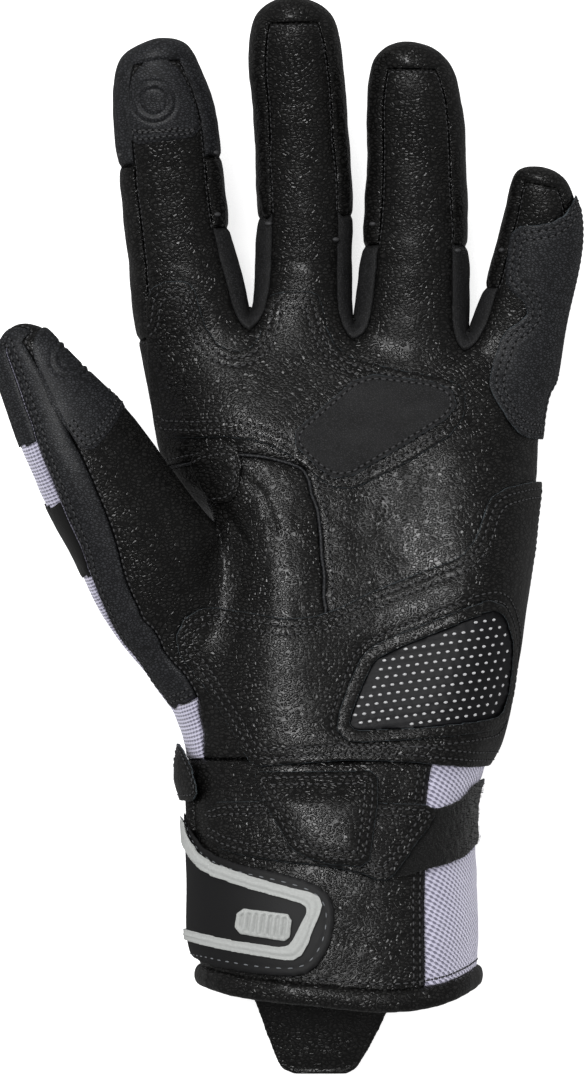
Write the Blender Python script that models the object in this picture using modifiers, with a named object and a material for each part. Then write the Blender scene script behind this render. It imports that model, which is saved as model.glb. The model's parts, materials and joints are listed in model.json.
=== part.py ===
"""A motorcycle glove for the left hand, lying on its back with the palm up.

Every panel is cut from one hand-shaped skin: a coarse cage of rings, subdivided once.
The pieces sewn on top follow the same skin at their own height above it.
X runs across the palm, Y from the cuff to the fingertips, Z up out of the palm. Metres.
"""

import math

import bmesh
import bpy
from mathutils import Vector

for old in list(bpy.data.objects):
    bpy.data.objects.remove(old, do_unlink=True)

# Driving sizes
PALM_WIDTH = 0.1009
PALM_LENGTH = 0.1222
PALM_CENTRE = 0.0144
WRIST_LINE = -0.0679
PALM_DEPTH = 0.0400
WALL = 0.0016
SEAM_GAP = 0.00036
SKIVED = 0.55
LAYER_GAP = 0.0003
OVERLAY = 0.0012
BINDING_HEIGHT = 0.0052
BINDING_DEPTH = 0.0044
TAB_REACH = 0.0224
# A subdivided ring lies inside its cage, so the cage is drawn larger by this share.
CAGE_SWELL = 1.10
SIDE_SWELL = 0.0016

# Materials: base colour, roughness, metallic
LEATHER = ((0.020, 0.020, 0.022), 0.42, 0.0)
SMOOTH_LEATHER = ((0.060, 0.060, 0.066), 0.36, 0.0)
SUEDE = ((0.030, 0.030, 0.032), 0.85, 0.0)
LIGHT_MESH = ((0.500, 0.500, 0.600), 0.90, 0.0)
BLACK_CLOTH = ((0.018, 0.018, 0.020), 0.95, 0.0)
RUBBER = ((0.028, 0.029, 0.031), 0.60, 0.0)
PALE_RUBBER = ((0.640, 0.640, 0.620), 0.50, 0.0)
CARBON = ((0.040, 0.042, 0.046), 0.50, 0.0)

glove = bpy.data.collections.new("motorcycle_glove")
bpy.context.scene.collection.children.link(glove)
cutters = bpy.data.collections.new("cutters")
bpy.context.scene.collection.children.link(cutters)
cutters.hide_render = True


def place(across, along, height=0.0):
    """Shares of the palm's width and length as a point."""
    return Vector((PALM_CENTRE + across * PALM_WIDTH, WRIST_LINE + along * PALM_LENGTH, height))


def material(name, look):
    colour, roughness, metallic = look
    made = bpy.data.materials.new(name)
    made.use_nodes = True
    shader = made.node_tree.nodes["Principled BSDF"]
    shader.inputs["Base Color"].default_value = (*colour, 1.0)
    shader.inputs["Roughness"].default_value = roughness
    shader.inputs["Metallic"].default_value = metallic
    made.diffuse_color = (*colour, 1.0)
    return made


def node(name, points, faces, look):
    mesh = bpy.data.meshes.new(name)
    mesh.from_pydata([tuple(point) for point in points], [], faces)
    mesh.update()
    made = bpy.data.objects.new(name, mesh)
    made.data.materials.append(material(name, look))
    glove.objects.link(made)
    return made


# The hand's cage. Each palm row holds 20 points: nine along the front from left to right,
# one at the right side, nine along the back from right to left, one at the left side.
# along, left side, right side: shares of the palm. depth: share of the palm's depth.
# rise: how far the back stands off the floor. bow: how far the front's middle dips to the cuff.
# Then the nine front points across, and their heights as shares of the depth.
CUFF_HEIGHTS = (0.68, 0.86, 0.96, 1.00, 1.00, 0.99, 0.94, 0.84, 0.66)
PALM_HEIGHTS = (0.70, 0.94, 1.00, 0.97, 0.93, 0.94, 1.00, 0.92, 0.66)
KNUCKLE_HEIGHTS = (0.64, 0.90, 0.99, 0.98, 0.97, 0.98, 1.00, 0.90, 0.64)
PALM_ROWS = (
    ("cuff edge", -0.349, -0.369, 0.332, 1.24, 0.0014, 0.053,
     (-0.356, -0.281, -0.188, -0.093, 0.005, 0.106, 0.209, 0.271, 0.307), CUFF_HEIGHTS),
    ("cuff low", -0.294, -0.414, 0.335, 1.25, 0.0010, 0.020,
     (-0.366, -0.286, -0.191, -0.093, 0.005, 0.106, 0.209, 0.273, 0.312), CUFF_HEIGHTS),
    ("cuff middle", -0.187, -0.379, 0.337, 1.22, 0.0004, 0.008,
     (-0.379, -0.296, -0.196, -0.095, 0.005, 0.106, 0.209, 0.273, 0.312), CUFF_HEIGHTS),
    ("wrist", 0.013, -0.405, 0.297, 1.14, 0.0, 0.0,
     (-0.381, -0.299, -0.198, -0.098, 0.003, 0.106, 0.206, 0.268, 0.302), CUFF_HEIGHTS),
    ("heel edge", 0.081, -0.428, 0.377, 1.12, 0.0, 0.0,
     (-0.381, -0.294, -0.191, -0.088, 0.018, 0.126, 0.227, 0.296, 0.330), CUFF_HEIGHTS),
    ("heel", 0.187, -0.415, 0.415, 1.08, 0.0, 0.0,
     (-0.371, -0.276, -0.173, -0.070, 0.041, 0.152, 0.255, 0.332, 0.379), PALM_HEIGHTS),
    ("thenar", 0.404, -0.343, 0.437, 1.04, 0.0, 0.0,
     (-0.312, -0.229, -0.144, -0.059, 0.064, 0.188, 0.302, 0.381, 0.423), PALM_HEIGHTS),
    ("thumb web", 0.617, -0.379, 0.492, 0.94, 0.0, 0.0,
     (-0.325, -0.245, -0.160, -0.075, 0.054, 0.183, 0.312, 0.407, 0.454), PALM_HEIGHTS),
    ("palm seam", 0.698, -0.503, 0.502, 0.88, 0.0, 0.0,
     (-0.446, -0.351, -0.235, -0.121, 0.013, 0.162, 0.309, 0.412, 0.464), KNUCKLE_HEIGHTS),
    ("knuckles", 0.798, -0.507, 0.495, 0.84, 0.0, 0.0,
     (-0.456, -0.371, -0.255, -0.121, 0.015, 0.160, 0.309, 0.412, 0.466), KNUCKLE_HEIGHTS),
    ("finger base", 0.887, -0.530, 0.524, 0.76, 0.0, 0.0,
     (-0.477, -0.384, -0.258, -0.121, 0.015, 0.157, 0.307, 0.415, 0.479), KNUCKLE_HEIGHTS),
)
# Rows whose left side point leaves the row's line.
LEFT_ALONG = {"heel": 0.162, "thumb web": 0.632}
# Rows whose front points leave the row's line: along, as shares.
SEAM_ALONG = (0.719, 0.740, 0.757, 0.694, 0.685, 0.694, 0.702, 0.702, 0.702)
KNUCKLE_ALONG = (0.791, 0.809, 0.826, 0.813, 0.800, 0.796, 0.798, 0.794, 0.787)

# The web at the finger roots: across, along and height in metres for nine front points,
# and the crotch points between the fingers with the two sides.
WEB_HEIGHT = 0.0268
WEB = (
    (-0.534, 0.983), (-0.399, 0.979), (-0.253, 0.991), (-0.119, 0.974), (0.013, 0.972),
    (0.152, 0.947), (0.302, 0.949), (0.415, 0.902), (0.515, 0.872),
)
CROTCH = ((-0.549, 0.987), (-0.253, 1.019), (0.015, 0.991), (0.307, 0.983), (0.544, 0.881))

# Fingers: root and tip of the chord, how far the cage's tip reaches, then its rings:
# share of the length, left and right edge from the chord as shares of the palm's width.
FINGERS = (
    ("index", (-0.397, 1.000), (-0.474, 1.615), 1.025, (
        (0.120, -0.150, 0.155),
        (0.330, -0.145, 0.110),
        (0.600, -0.150, 0.125),
        (0.800, -0.145, 0.115),
        (0.945, -0.135, 0.080),
        (0.985, -0.080, 0.065),
    )),
    ("middle", (-0.113, 1.011), (-0.142, 1.702), 1.036, (
        (0.120, -0.115, 0.125),
        (0.330, -0.110, 0.145),
        (0.600, -0.100, 0.130),
        (0.800, -0.120, 0.130),
        (0.945, -0.115, 0.120),
        (0.985, -0.070, 0.070),
    )),
    ("ring", (0.155, 0.957), (0.157, 1.611), 1.034, (
        (0.120, -0.135, 0.165),
        (0.330, -0.120, 0.160),
        (0.600, -0.095, 0.150),
        (0.800, -0.110, 0.145),
        (0.925, -0.100, 0.120),
        (0.972, -0.080, 0.080),
    )),
    ("little", (0.410, 0.883), (0.500, 1.345), 1.032, (
        (0.270, -0.110, 0.115),
        (0.420, -0.095, 0.120),
        (0.620, -0.080, 0.130),
        (0.800, -0.070, 0.120),
        (0.935, -0.075, 0.080),
        (0.975, -0.060, 0.060),
    )),
)
FINGER_ROOT_HEIGHT = 0.0135
FINGER_CURL = 0.0200
FINGER_FLAT = 0.95

# The thumb: root and tip of its line, then rings: share of its length, half width and
# half depth (metres), height of its middle (metres), roll toward the palm (degrees),
# and how far its middle lies toward the fingers (metres).
THUMB_ROOT = (-0.405, 0.389)
THUMB_TIP = (-0.845, 0.994)
THUMB_RINGS = (
    (0.143, 0.0206, 0.0156, 0.0270, 15, -0.0010),
    (0.270, 0.0176, 0.0152, 0.0300, 28, -0.0002),
    (0.431, 0.0172, 0.0144, 0.0340, 40, -0.0010),
    (0.600, 0.0172, 0.0132, 0.0370, 46, -0.0004),
    (0.760, 0.0114, 0.0122, 0.0395, 48, -0.0014),
    (0.900, 0.0068, 0.0104, 0.0410, 48, -0.0018),
    (0.985, 0.0072, 0.0074, 0.0415, 48, -0.0008),
)
THUMB_END = (1.090, 0.0415)

# Building the cage
cage_points = []
cage_faces = []
cage_labels = []


def add_point(point):
    cage_points.append(Vector(point))
    return len(cage_points) - 1


def add_face(corners, label):
    cage_faces.append(tuple(corners))
    cage_labels.append(label)


BOW_SHARES = (0.12, 0.40, 0.56, 0.68, 0.84, 1.0, 0.82, 0.56, 0.28)
rows = []
for name, along, left, right, depth, rise, bow, across, heights in PALM_ROWS:
    tall = depth * PALM_DEPTH
    alongs = [along - bow * share for share in BOW_SHARES]
    if name == "palm seam":
        alongs = list(SEAM_ALONG)
    if name == "knuckles":
        alongs = list(KNUCKLE_ALONG)
    front = []
    back = []
    for column in range(9):
        front.append(add_point(place(across[column], alongs[column], rise + heights[column] * tall)))
    swell = SIDE_SWELL / PALM_WIDTH
    right_side = add_point(place(right + swell, along, rise + 0.34 * tall))
    for column in range(9):
        lift = 0.09 * tall if column in (0, 8) else 0.0
        back.append(add_point(place(across[column], along - 0.15 * bow, rise + lift)))
    left_along = LEFT_ALONG.get(name, along)
    left_side = add_point(place(left - swell, left_along, rise + 0.34 * tall))
    rows.append({"F": front, "B": back, "R": right_side, "L": left_side})

web_front = []
web_back = []
for column in range(9):
    share = KNUCKLE_HEIGHTS[column]
    web_front.append(add_point(place(*WEB[column], WEB_HEIGHT * (0.3 + 0.7 * share))))
for column in range(9):
    lift = 0.0024 if column in (0, 8) else 0.0
    web_back.append(add_point(place(*WEB[column], lift)))
crotch = []
for number, (across, along) in enumerate(CROTCH):
    crotch.append(add_point(place(across, along, 0.0125 if number in (0, 4) else 0.0140)))
rows.append({"F": web_front, "B": web_back, "R": crotch[4], "L": crotch[0]})

HEEL = 4
THUMB_LOW = 5
THUMB_HIGH = 7
SEAM_ROW = 8
for number in range(len(rows) - 1):
    low = rows[number]
    high = rows[number + 1]
    cuff = number < HEEL
    for column in range(8):
        if cuff:
            front_label = "cuff_mesh" if column >= 6 else "cuff_front"
            back_label = "cuff_back"
        else:
            thumb_side = column < 3 and number < SEAM_ROW
            front_label = "thumb_panel" if thumb_side else "palm_panel"
            back_label = "back_panel"
        add_face((low["F"][column], low["F"][column + 1], high["F"][column + 1], high["F"][column]), front_label)
        add_face((low["B"][column + 1], low["B"][column], high["B"][column], high["B"][column + 1]), back_label)
    right_label = "cuff_mesh" if cuff else "palm_panel"
    add_face((low["F"][8], low["R"], high["R"], high["F"][8]), right_label)
    add_face((low["R"], low["B"][8], high["B"][8], high["R"]), "cuff_mesh" if cuff else "back_panel")
    if THUMB_LOW <= number < THUMB_HIGH:
        continue
    if cuff:
        left_labels = ("cuff_front", "cuff_back")
    elif number < THUMB_LOW:
        left_labels = ("thumb_back", "thumb_back")
    elif number < SEAM_ROW:
        left_labels = ("thumb_panel", "thumb_back")
    else:
        left_labels = ("palm_panel", "back_panel")
    add_face((low["L"], low["F"][0], high["F"][0], high["L"]), left_labels[0])
    add_face((low["B"][0], low["L"], high["L"], high["B"][0]), left_labels[1])

RING_POINTS = (
    (-0.74, 0.74), (0.0, 1.0), (0.74, 0.74), (1.0, 0.0),
    (0.74, -0.74), (0.0, -1.0), (-0.74, -0.74), (-1.0, 0.0),
)


def ring(centre, sideways, front, half_width, half_depth, pinch=1.0):
    """Eight points, first the front left, then round by the front right. pinch draws the front corners in."""
    made = []
    for number, (across, out) in enumerate(RING_POINTS):
        if number in (0, 2):
            across = across * pinch
            out = out * (2.0 - pinch) ** 0.5
        offset = sideways * across * half_width + front * out * half_depth
        made.append(add_point(centre + offset * CAGE_SWELL))
    return made


def tube(rings, tip, labels):
    """Joins rings of eight points, then closes the end with four faces round the tip point."""
    for number in range(len(rings) - 1):
        low = rings[number]
        high = rings[number + 1]
        for side in range(8):
            after = (side + 1) % 8
            add_face((low[side], low[after], high[after], high[side]), labels(number, side))
    last = rings[-1]
    top = add_point(tip)
    for side in (1, 3, 5, 7):
        add_face((last[side], last[(side + 1) % 8], last[(side + 2) % 8], top), labels(len(rings), side))


def finger_label(finger, number, side):
    name = FINGERS[finger][0]
    gussets = ("gusset_index_middle", "gusset_middle_ring", "gusset_ring_little")
    if number >= 5:
        if number < 6 and side in (4, 5):
            return "back_panel"
        return "index_tip_band" if finger == 0 else name + "_sidewall"
    if side in (0, 1):
        return "palm_panel"
    if side in (4, 5):
        return "back_panel"
    if number < 2:
        if side in (2, 3) and finger < 3:
            return gussets[finger]
        if side in (6, 7) and finger > 0:
            return gussets[finger - 1]
    if finger == 0 and number >= 3:
        return "index_tip_band"
    if finger == 0:
        return "index_sidewall_inner" if side in (2, 3) else "index_sidewall_outer"
    return name + "_sidewall"


for finger, (name, root, tip, reach, finger_rings) in enumerate(FINGERS):
    root_point = place(*root)
    tip_point = place(*tip)
    chord = tip_point - root_point
    sideways = Vector((chord.y, -chord.x, 0.0)).normalized()

    def centre_of(share, aside=0.0):
        height = FINGER_ROOT_HEIGHT + FINGER_CURL * share ** 1.7
        return root_point + chord * share + sideways * aside + Vector((0.0, 0.0, height))

    base = rows[-1]
    start = 2 * finger
    rings = [[
        base["F"][start], base["F"][start + 1], base["F"][start + 2], crotch[finger + 1],
        base["B"][start + 2], base["B"][start + 1], base["B"][start], crotch[finger],
    ]]
    for share, left, right in finger_rings:
        aside = 0.5 * (left + right) * PALM_WIDTH
        half = 0.5 * (right - left) * PALM_WIDTH
        centre = centre_of(share, aside)
        pinch = 0.72 if share > 0.9 else 1.0
        rings.append(ring(centre, sideways, Vector((0.0, 0.0, 1.0)), half, half * FINGER_FLAT, pinch))
    end = centre_of(reach, aside)
    tube(rings, end, lambda number, side: finger_label(finger, number, side))


def thumb_label(number, side):
    if side in (0, 1, 2) and number < 7:
        return "thumb_panel"
    if number >= 7:
        return "thumb_sidewall" if side in (5, 7) else "thumb_panel"
    if side == 7:
        return "thumb_sidewall"
    return "thumb_back"


thumb_root = place(*THUMB_ROOT)
thumb_chord = place(*THUMB_TIP) - thumb_root
thumb_heading = thumb_chord.normalized()
thumb_side = Vector((thumb_heading.y, -thumb_heading.x, 0.0))
low, middle, high = rows[THUMB_LOW], rows[THUMB_LOW + 1], rows[THUMB_HIGH]
rings = [[
    low["F"][0], middle["F"][0], high["F"][0], high["L"],
    high["B"][0], middle["B"][0], low["B"][0], low["L"],
]]
for share, half_width, half_depth, height, roll, aside in THUMB_RINGS:
    turn = math.radians(roll)
    centre = thumb_root + thumb_chord * share + thumb_side * aside + Vector((0.0, 0.0, height))
    front = Vector((0.0, 0.0, math.cos(turn))) + thumb_side * math.sin(turn)
    across = thumb_side * math.cos(turn) - Vector((0.0, 0.0, math.sin(turn)))
    rings.append(ring(centre, across, front, half_width, half_depth))
thumb_end = thumb_root + thumb_chord * THUMB_END[0] + thumb_side * aside
thumb_end += Vector((0.0, 0.0, THUMB_END[1]))
tube(rings, thumb_end, thumb_label)

# The skin: the cage subdivided once and cut into triangles, with one label per triangle.
LABELS = sorted(set(cage_labels))
cage_mesh = bpy.data.meshes.new("cage")
cage_mesh.from_pydata([tuple(point) for point in cage_points], [], cage_faces)
loose = bmesh.new()
loose.from_mesh(cage_mesh)
loose.faces.ensure_lookup_table()
for face, label in zip(loose.faces, cage_labels):
    face.material_index = LABELS.index(label)
unused = [vert for vert in loose.verts if not vert.link_faces]
bmesh.ops.delete(loose, geom=unused, context="VERTS")
bmesh.ops.recalc_face_normals(loose, faces=loose.faces)
loose.to_mesh(cage_mesh)
loose.free()
cage = bpy.data.objects.new("cage", cage_mesh)
cutters.objects.link(cage)
cage.display_type = "WIRE"
for label in LABELS:
    cage_mesh.materials.append(None)
smooth = cage.modifiers.new("skin", "SUBSURF")
smooth.levels = 1
smooth.render_levels = 1
bpy.context.view_layer.update()
skin_mesh = bpy.data.meshes.new_from_object(cage.evaluated_get(bpy.context.evaluated_depsgraph_get()))
skin = bmesh.new()
skin.from_mesh(skin_mesh)
bmesh.ops.triangulate(skin, faces=skin.faces, quad_method="SHORT_EDGE")
skin.verts.ensure_lookup_table()
skin.faces.ensure_lookup_table()
skin.normal_update()
if sum(face.calc_area() * face.calc_center_median().dot(face.normal) for face in skin.faces) < 0:
    bmesh.ops.reverse_faces(skin, faces=skin.faces)
    skin.normal_update()
skin_points = [vert.co.copy() for vert in skin.verts]
skin_normals = [vert.normal.copy() for vert in skin.verts]
skin_faces = [tuple(vert.index for vert in face.verts) for face in skin.faces]
skin_labels = [LABELS[face.material_index] for face in skin.faces]
skin_centres = [face.calc_center_median() for face in skin.faces]
skin_facing = [face.normal.copy() for face in skin.faces]
edge_loops = [edge for edge in skin.edges if len(edge.link_faces) == 1]
mouth_edges = [(edge.verts[0].index, edge.verts[1].index) for edge in edge_loops]
skin.free()


def shell(name, chosen, look, low=None, high=None, shift=0.0):
    """A wall between two heights above the skin, over the chosen triangles.

    low and high are functions of a point index. The border is drawn in along the skin by shift.
    """
    used = sorted({index for face in chosen for index in skin_faces[face]})
    order = {index: number for number, index in enumerate(used)}
    ways = {}
    for face in chosen:
        a, b, c = skin_faces[face]
        for start, end in ((a, b), (b, c), (c, a)):
            ways[(start, end)] = face
    border = [pair for pair in ways if (pair[1], pair[0]) not in ways]
    pulls = {}
    for start, end in border:
        face = ways[(start, end)]
        along = (skin_points[end] - skin_points[start]).normalized()
        inward = skin_facing[face].cross(along).normalized()
        pulls.setdefault(start, []).append(inward)
        pulls.setdefault(end, []).append(inward)
    top = []
    bottom = []
    for index in used:
        point = skin_points[index].copy()
        if shift and index in pulls:
            total = Vector((0.0, 0.0, 0.0))
            for pull in pulls[index]:
                total += pull
            total /= len(pulls[index])
            if total.length > 0.2:
                point += total / total.length_squared * shift
        top.append(point + skin_normals[index] * high(index))
        bottom.append(point + skin_normals[index] * low(index))
    count = len(used)
    faces = []
    for face in chosen:
        a, b, c = (order[index] for index in skin_faces[face])
        faces.append((a, b, c))
        faces.append((c + count, b + count, a + count))
    for start, end in border:
        a, b = order[start], order[end]
        faces.append((b, a, a + count))
        faces.append((b, a + count, b + count))
    made = node(name, top + bottom, faces, look)
    merge_flats(made)
    return made


def merge_flats(made):
    """Joins the triangles of the flat back into wide faces, then cuts those into few triangles."""
    work = bmesh.new()
    work.from_mesh(made.data)
    level = [
        edge for edge in work.edges
        if len(edge.link_faces) == 2 and all(abs(face.normal.z) > 0.99999 for face in edge.link_faces)
    ]
    corners = {vert for edge in level for vert in edge.verts}
    bmesh.ops.dissolve_limit(work, angle_limit=math.radians(0.3), verts=list(corners), edges=level)
    bmesh.ops.triangulate(work, faces=work.faces)
    work.to_mesh(made.data)
    work.free()


crotch_points = [cage_points[index] for index in crotch[1:4]]


def wall_at(index):
    """The wall's inner side, as a height. The leather is skived thin in the crotches between the fingers."""
    nearest = min((skin_points[index].xy - point.xy).length for point in crotch_points)
    return -WALL * min(1.0, max(SKIVED, nearest / 0.011))


def panel(name, look):
    chosen = [number for number, label in enumerate(skin_labels) if label == name]
    return shell(name, chosen, look, wall_at, lambda index: 0.0, SEAM_GAP / 2)


panel("palm_panel", LEATHER)
panel("thumb_panel", LEATHER)
panel("back_panel", LEATHER)
panel("index_sidewall_outer", LEATHER)
panel("index_sidewall_inner", LEATHER)
panel("index_tip_band", SMOOTH_LEATHER)
panel("middle_sidewall", LEATHER)
panel("ring_sidewall", LEATHER)
panel("little_sidewall", LEATHER)
panel("gusset_index_middle", SUEDE)
panel("gusset_middle_ring", SUEDE)
panel("gusset_ring_little", SUEDE)
panel("thumb_sidewall", SMOOTH_LEATHER)
panel("thumb_back", LIGHT_MESH)
panel("cuff_front", BLACK_CLOTH)
panel("cuff_mesh", LIGHT_MESH)
panel("cuff_back", LEATHER)


def rounded(corners, radius, steps=1):
    """A closed outline from shares of the palm, each corner rounded by an arc."""
    flat = [place(*corner) for corner in corners]
    made = []
    for number, corner in enumerate(flat):
        before = flat[number - 1] - corner
        after = flat[(number + 1) % len(flat)] - corner
        reach = min(radius, 0.45 * before.length, 0.45 * after.length)
        turn = before.angle(after, math.pi)
        if turn > math.radians(168) or reach < 0.0004:
            made.append(corner)
            continue
        start = corner + before.normalized() * reach
        end = corner + after.normalized() * reach
        for step in range(steps + 1):
            share = step / steps
            made.append(start * (1 - share) ** 2 + corner * 2 * share * (1 - share) + end * share ** 2)
    return made


def prism(name, outline, bottom, top):
    """An upright cutter over a closed outline."""
    mesh = bpy.data.meshes.new(name)
    count = len(outline)
    points = [(point.x, point.y, bottom) for point in outline]
    points += [(point.x, point.y, top) for point in outline]
    area = sum(
        outline[number - 1].x * outline[number].y - outline[number].x * outline[number - 1].y
        for number in range(count)
    )
    ring_order = list(range(count))
    if area < 0:
        ring_order.reverse()
    faces = [tuple(reversed(ring_order)), tuple(index + count for index in ring_order)]
    for number in range(count):
        a = ring_order[number - 1]
        b = ring_order[number]
        faces.append((a, b, b + count, a + count))
    mesh.from_pydata(points, [], faces)
    mesh.update()
    made = bpy.data.objects.new(name, mesh)
    made.display_type = "WIRE"
    cutters.objects.link(made)
    return made


def boolean(target, cutter, operation):
    cut = target.modifiers.new(cutter.name, "BOOLEAN")
    cut.operation = operation
    cut.solver = "EXACT"
    cut.object = cutter


def region(outline, low_height, margin=0.013, steepest=-0.2):
    """The skin triangles round an outline that face up or sideways."""
    left = min(point.x for point in outline) - margin
    right = max(point.x for point in outline) + margin
    bottom = min(point.y for point in outline) - margin
    top = max(point.y for point in outline) + margin
    chosen = []
    for number, centre in enumerate(skin_centres):
        inside = left < centre.x < right and bottom < centre.y < top
        if inside and skin_facing[number].z > steepest and centre.z > low_height - margin:
            chosen.append(number)
    return chosen


def overlay(name, look, corners, radius, base, thickness, floor=0.012, window=None, steepest=-0.2, margin=0.013):
    """A sheet that follows the skin inside an outline. base is a height or a function of a point index."""
    outline = rounded(corners, radius)
    low = base if callable(base) else (lambda index: base)
    made = shell(name, region(outline, floor, margin, steepest), look, low, lambda index: low(index) + thickness)
    boolean(made, prism(name + "_outline", outline, floor, 0.09), "INTERSECT")
    if window:
        opening = rounded(*window)
        boolean(made, prism(name + "_window", opening, 0.0, 0.09), "DIFFERENCE")
    return made


FIRST = LAYER_GAP
SECOND = FIRST + OVERLAY + LAYER_GAP

# Palm overlays
overlay("upper_palm_overlay", LEATHER, (
    (-0.497, 0.774), (-0.505, 0.851), (-0.515, 0.940), (-0.521, 1.021), (-0.515, 1.081), (-0.487, 1.102), (-0.420, 1.106),
    (-0.392, 1.094), (-0.376, 1.038), (-0.356, 0.987), (-0.314, 0.957), (-0.271, 0.953), (-0.235, 0.970), (-0.216, 1.009),
    (-0.206, 1.066), (-0.188, 1.081), (-0.082, 1.083), (-0.067, 1.066), (-0.052, 0.996), (-0.015, 0.953), (0.034, 0.934),
    (0.137, 0.915), (0.265, 0.896), (0.304, 0.877), (0.309, 0.847), (0.289, 0.787), (0.162, 0.721), (0.034, 0.668),
    (-0.013, 0.657), (-0.057, 0.672), (-0.106, 0.706), (-0.168, 0.745), (-0.237, 0.764), (-0.314, 0.772), (-0.405, 0.770),
), 0.003, FIRST, OVERLAY)
overlay("palm_diamond_patch", SUEDE, (
    (-0.155, 0.770), (0.039, 0.909), (0.245, 0.889), (0.289, 0.857), (0.273, 0.819), (0.137, 0.749), (-0.005, 0.679), (-0.057, 0.691),
), 0.003, SECOND, 0.0010)
overlay("heel_overlay", LEATHER, (
    (-0.446, 0.332), (-0.433, 0.372), (-0.399, 0.402), (-0.358, 0.413), (-0.250, 0.400), (-0.121, 0.381), (-0.018, 0.411),
    (0.059, 0.443), (0.214, 0.494), (0.286, 0.515), (0.320, 0.540), (0.340, 0.581), (0.358, 0.630), (0.387, 0.660),
    (0.472, 0.677), (0.588, 0.685), (0.588, 0.072), (0.317, 0.070), (0.162, 0.083), (0.008, 0.087), (-0.147, 0.079),
    (-0.245, 0.072), (-0.265, 0.102), (-0.312, 0.170), (-0.371, 0.247), (-0.418, 0.294),
), 0.004, FIRST, OVERLAY, 0.010, ((
    (0.392, 0.413), (0.418, 0.383), (0.436, 0.330), (0.433, 0.277), (0.423, 0.223), (0.405, 0.172), (0.343, 0.164),
    (0.188, 0.151), (0.039, 0.145), (-0.005, 0.149), (0.000, 0.179), (0.028, 0.243), (0.059, 0.304), (0.137, 0.334), (0.253, 0.372), (0.343, 0.402),
), 0.0015))
overlay("heel_slider", CARBON, (
    (0.389, 0.406), (0.412, 0.381), (0.428, 0.330), (0.425, 0.277), (0.415, 0.223), (0.399, 0.179), (0.343, 0.170),
    (0.188, 0.157), (0.039, 0.151), (0.005, 0.155), (0.008, 0.179), (0.036, 0.238), (0.067, 0.298), (0.139, 0.328), (0.255, 0.366), (0.345, 0.396),
), 0.0012, FIRST, 0.0016, 0.020)
overlay("slider_frame", LEATHER, (
    (0.392, 0.432), (0.425, 0.389), (0.441, 0.332), (0.438, 0.272), (0.428, 0.213), (0.412, 0.155), (0.343, 0.145),
    (0.188, 0.132), (0.039, 0.126), (-0.023, 0.130), (-0.028, 0.174), (0.005, 0.251), (0.044, 0.321), (0.126, 0.353), (0.245, 0.391), (0.338, 0.421),
), 0.0025, SECOND + 0.0003, 0.0009, 0.020, ((
    (0.389, 0.406), (0.412, 0.381), (0.428, 0.330), (0.425, 0.277), (0.415, 0.223), (0.399, 0.179), (0.343, 0.170),
    (0.188, 0.157), (0.039, 0.151), (0.005, 0.155), (0.008, 0.179), (0.036, 0.238), (0.067, 0.298), (0.139, 0.328), (0.255, 0.366), (0.345, 0.396),
), 0.0012))
overlay("little_finger_overlay", SMOOTH_LEATHER, (
    (0.423, 1.219), (0.500, 1.221), (0.541, 1.230), (0.570, 1.251), (0.585, 1.277), (0.598, 1.306), (0.691, 1.306),
    (0.652, 0.770), (0.492, 0.768), (0.451, 0.772), (0.428, 0.794), (0.394, 0.836), (0.369, 0.870), (0.366, 0.898),
    (0.387, 0.957), (0.399, 0.991), (0.425, 1.011), (0.459, 1.021), (0.469, 1.047), (0.441, 1.070), (0.412, 1.087),
    (0.405, 1.111), (0.415, 1.179),
), 0.002, FIRST, OVERLAY, 0.008)
overlay("index_touch_tip", SMOOTH_LEATHER, (
    (-0.557, 1.389), (-0.567, 1.451), (-0.562, 1.511), (-0.541, 1.555), (-0.495, 1.574), (-0.443, 1.568), (-0.407, 1.519), (-0.384, 1.464), (-0.374, 1.409),
), 0.002, FIRST, 0.0008)
overlay("thumb_touch_tip", SMOOTH_LEATHER, (
    (-0.807, 0.983), (-0.760, 1.017), (-0.688, 1.000), (-0.534, 0.883), (-0.564, 0.847), (-0.588, 0.806), (-0.621, 0.766),
    (-0.662, 0.732), (-0.714, 0.783), (-0.755, 0.834), (-0.786, 0.898), (-0.804, 0.953),
), 0.002, FIRST, 0.0008, 0.026)
overlay("thumb_crotch_patch", LEATHER, (
    (-0.369, 0.745), (-0.286, 0.751), (-0.273, 0.734), (-0.276, 0.668), (-0.291, 0.638), (-0.322, 0.626), (-0.353, 0.632),
    (-0.389, 0.685), (-0.415, 0.728),
), 0.002, FIRST, 0.0010, margin=0.009)


# Wrist closure
def ramp(value, start, end):
    return min(max((value - start) / (end - start), 0.0), 1.0)


def across_of(index):
    return (skin_points[index].x - PALM_CENTRE) / PALM_WIDTH


def along_of(index):
    return (skin_points[index].y - WRIST_LINE) / PALM_LENGTH


STRAP = 0.0014
THIRD = 0.0036


def strap_base(index):
    return FIRST + (SECOND - FIRST) * ramp(across_of(index), -0.147, -0.005)


def flap_base(index):
    return FIRST + (THIRD - FIRST) * ramp(along_of(index), 0.060, 0.000)


LOOP_RISE = ((0.187, 0.0003), (0.134, 0.0004), (0.081, 0.0018), (0.043, 0.0020), (0.009, 0.0012), (-0.060, 0.0006))


def loop_base(index):
    along = along_of(index)
    rise = LOOP_RISE[0][1]
    for (upper, first), (lower, second) in zip(LOOP_RISE, LOOP_RISE[1:]):
        if along <= upper:
            rise = first + (second - first) * ramp(along, upper, lower)
    seated = ramp(skin_points[index].z, 0.006, 0.014)
    return FIRST + rise * seated * max(0.0, -skin_normals[index].x)


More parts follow.
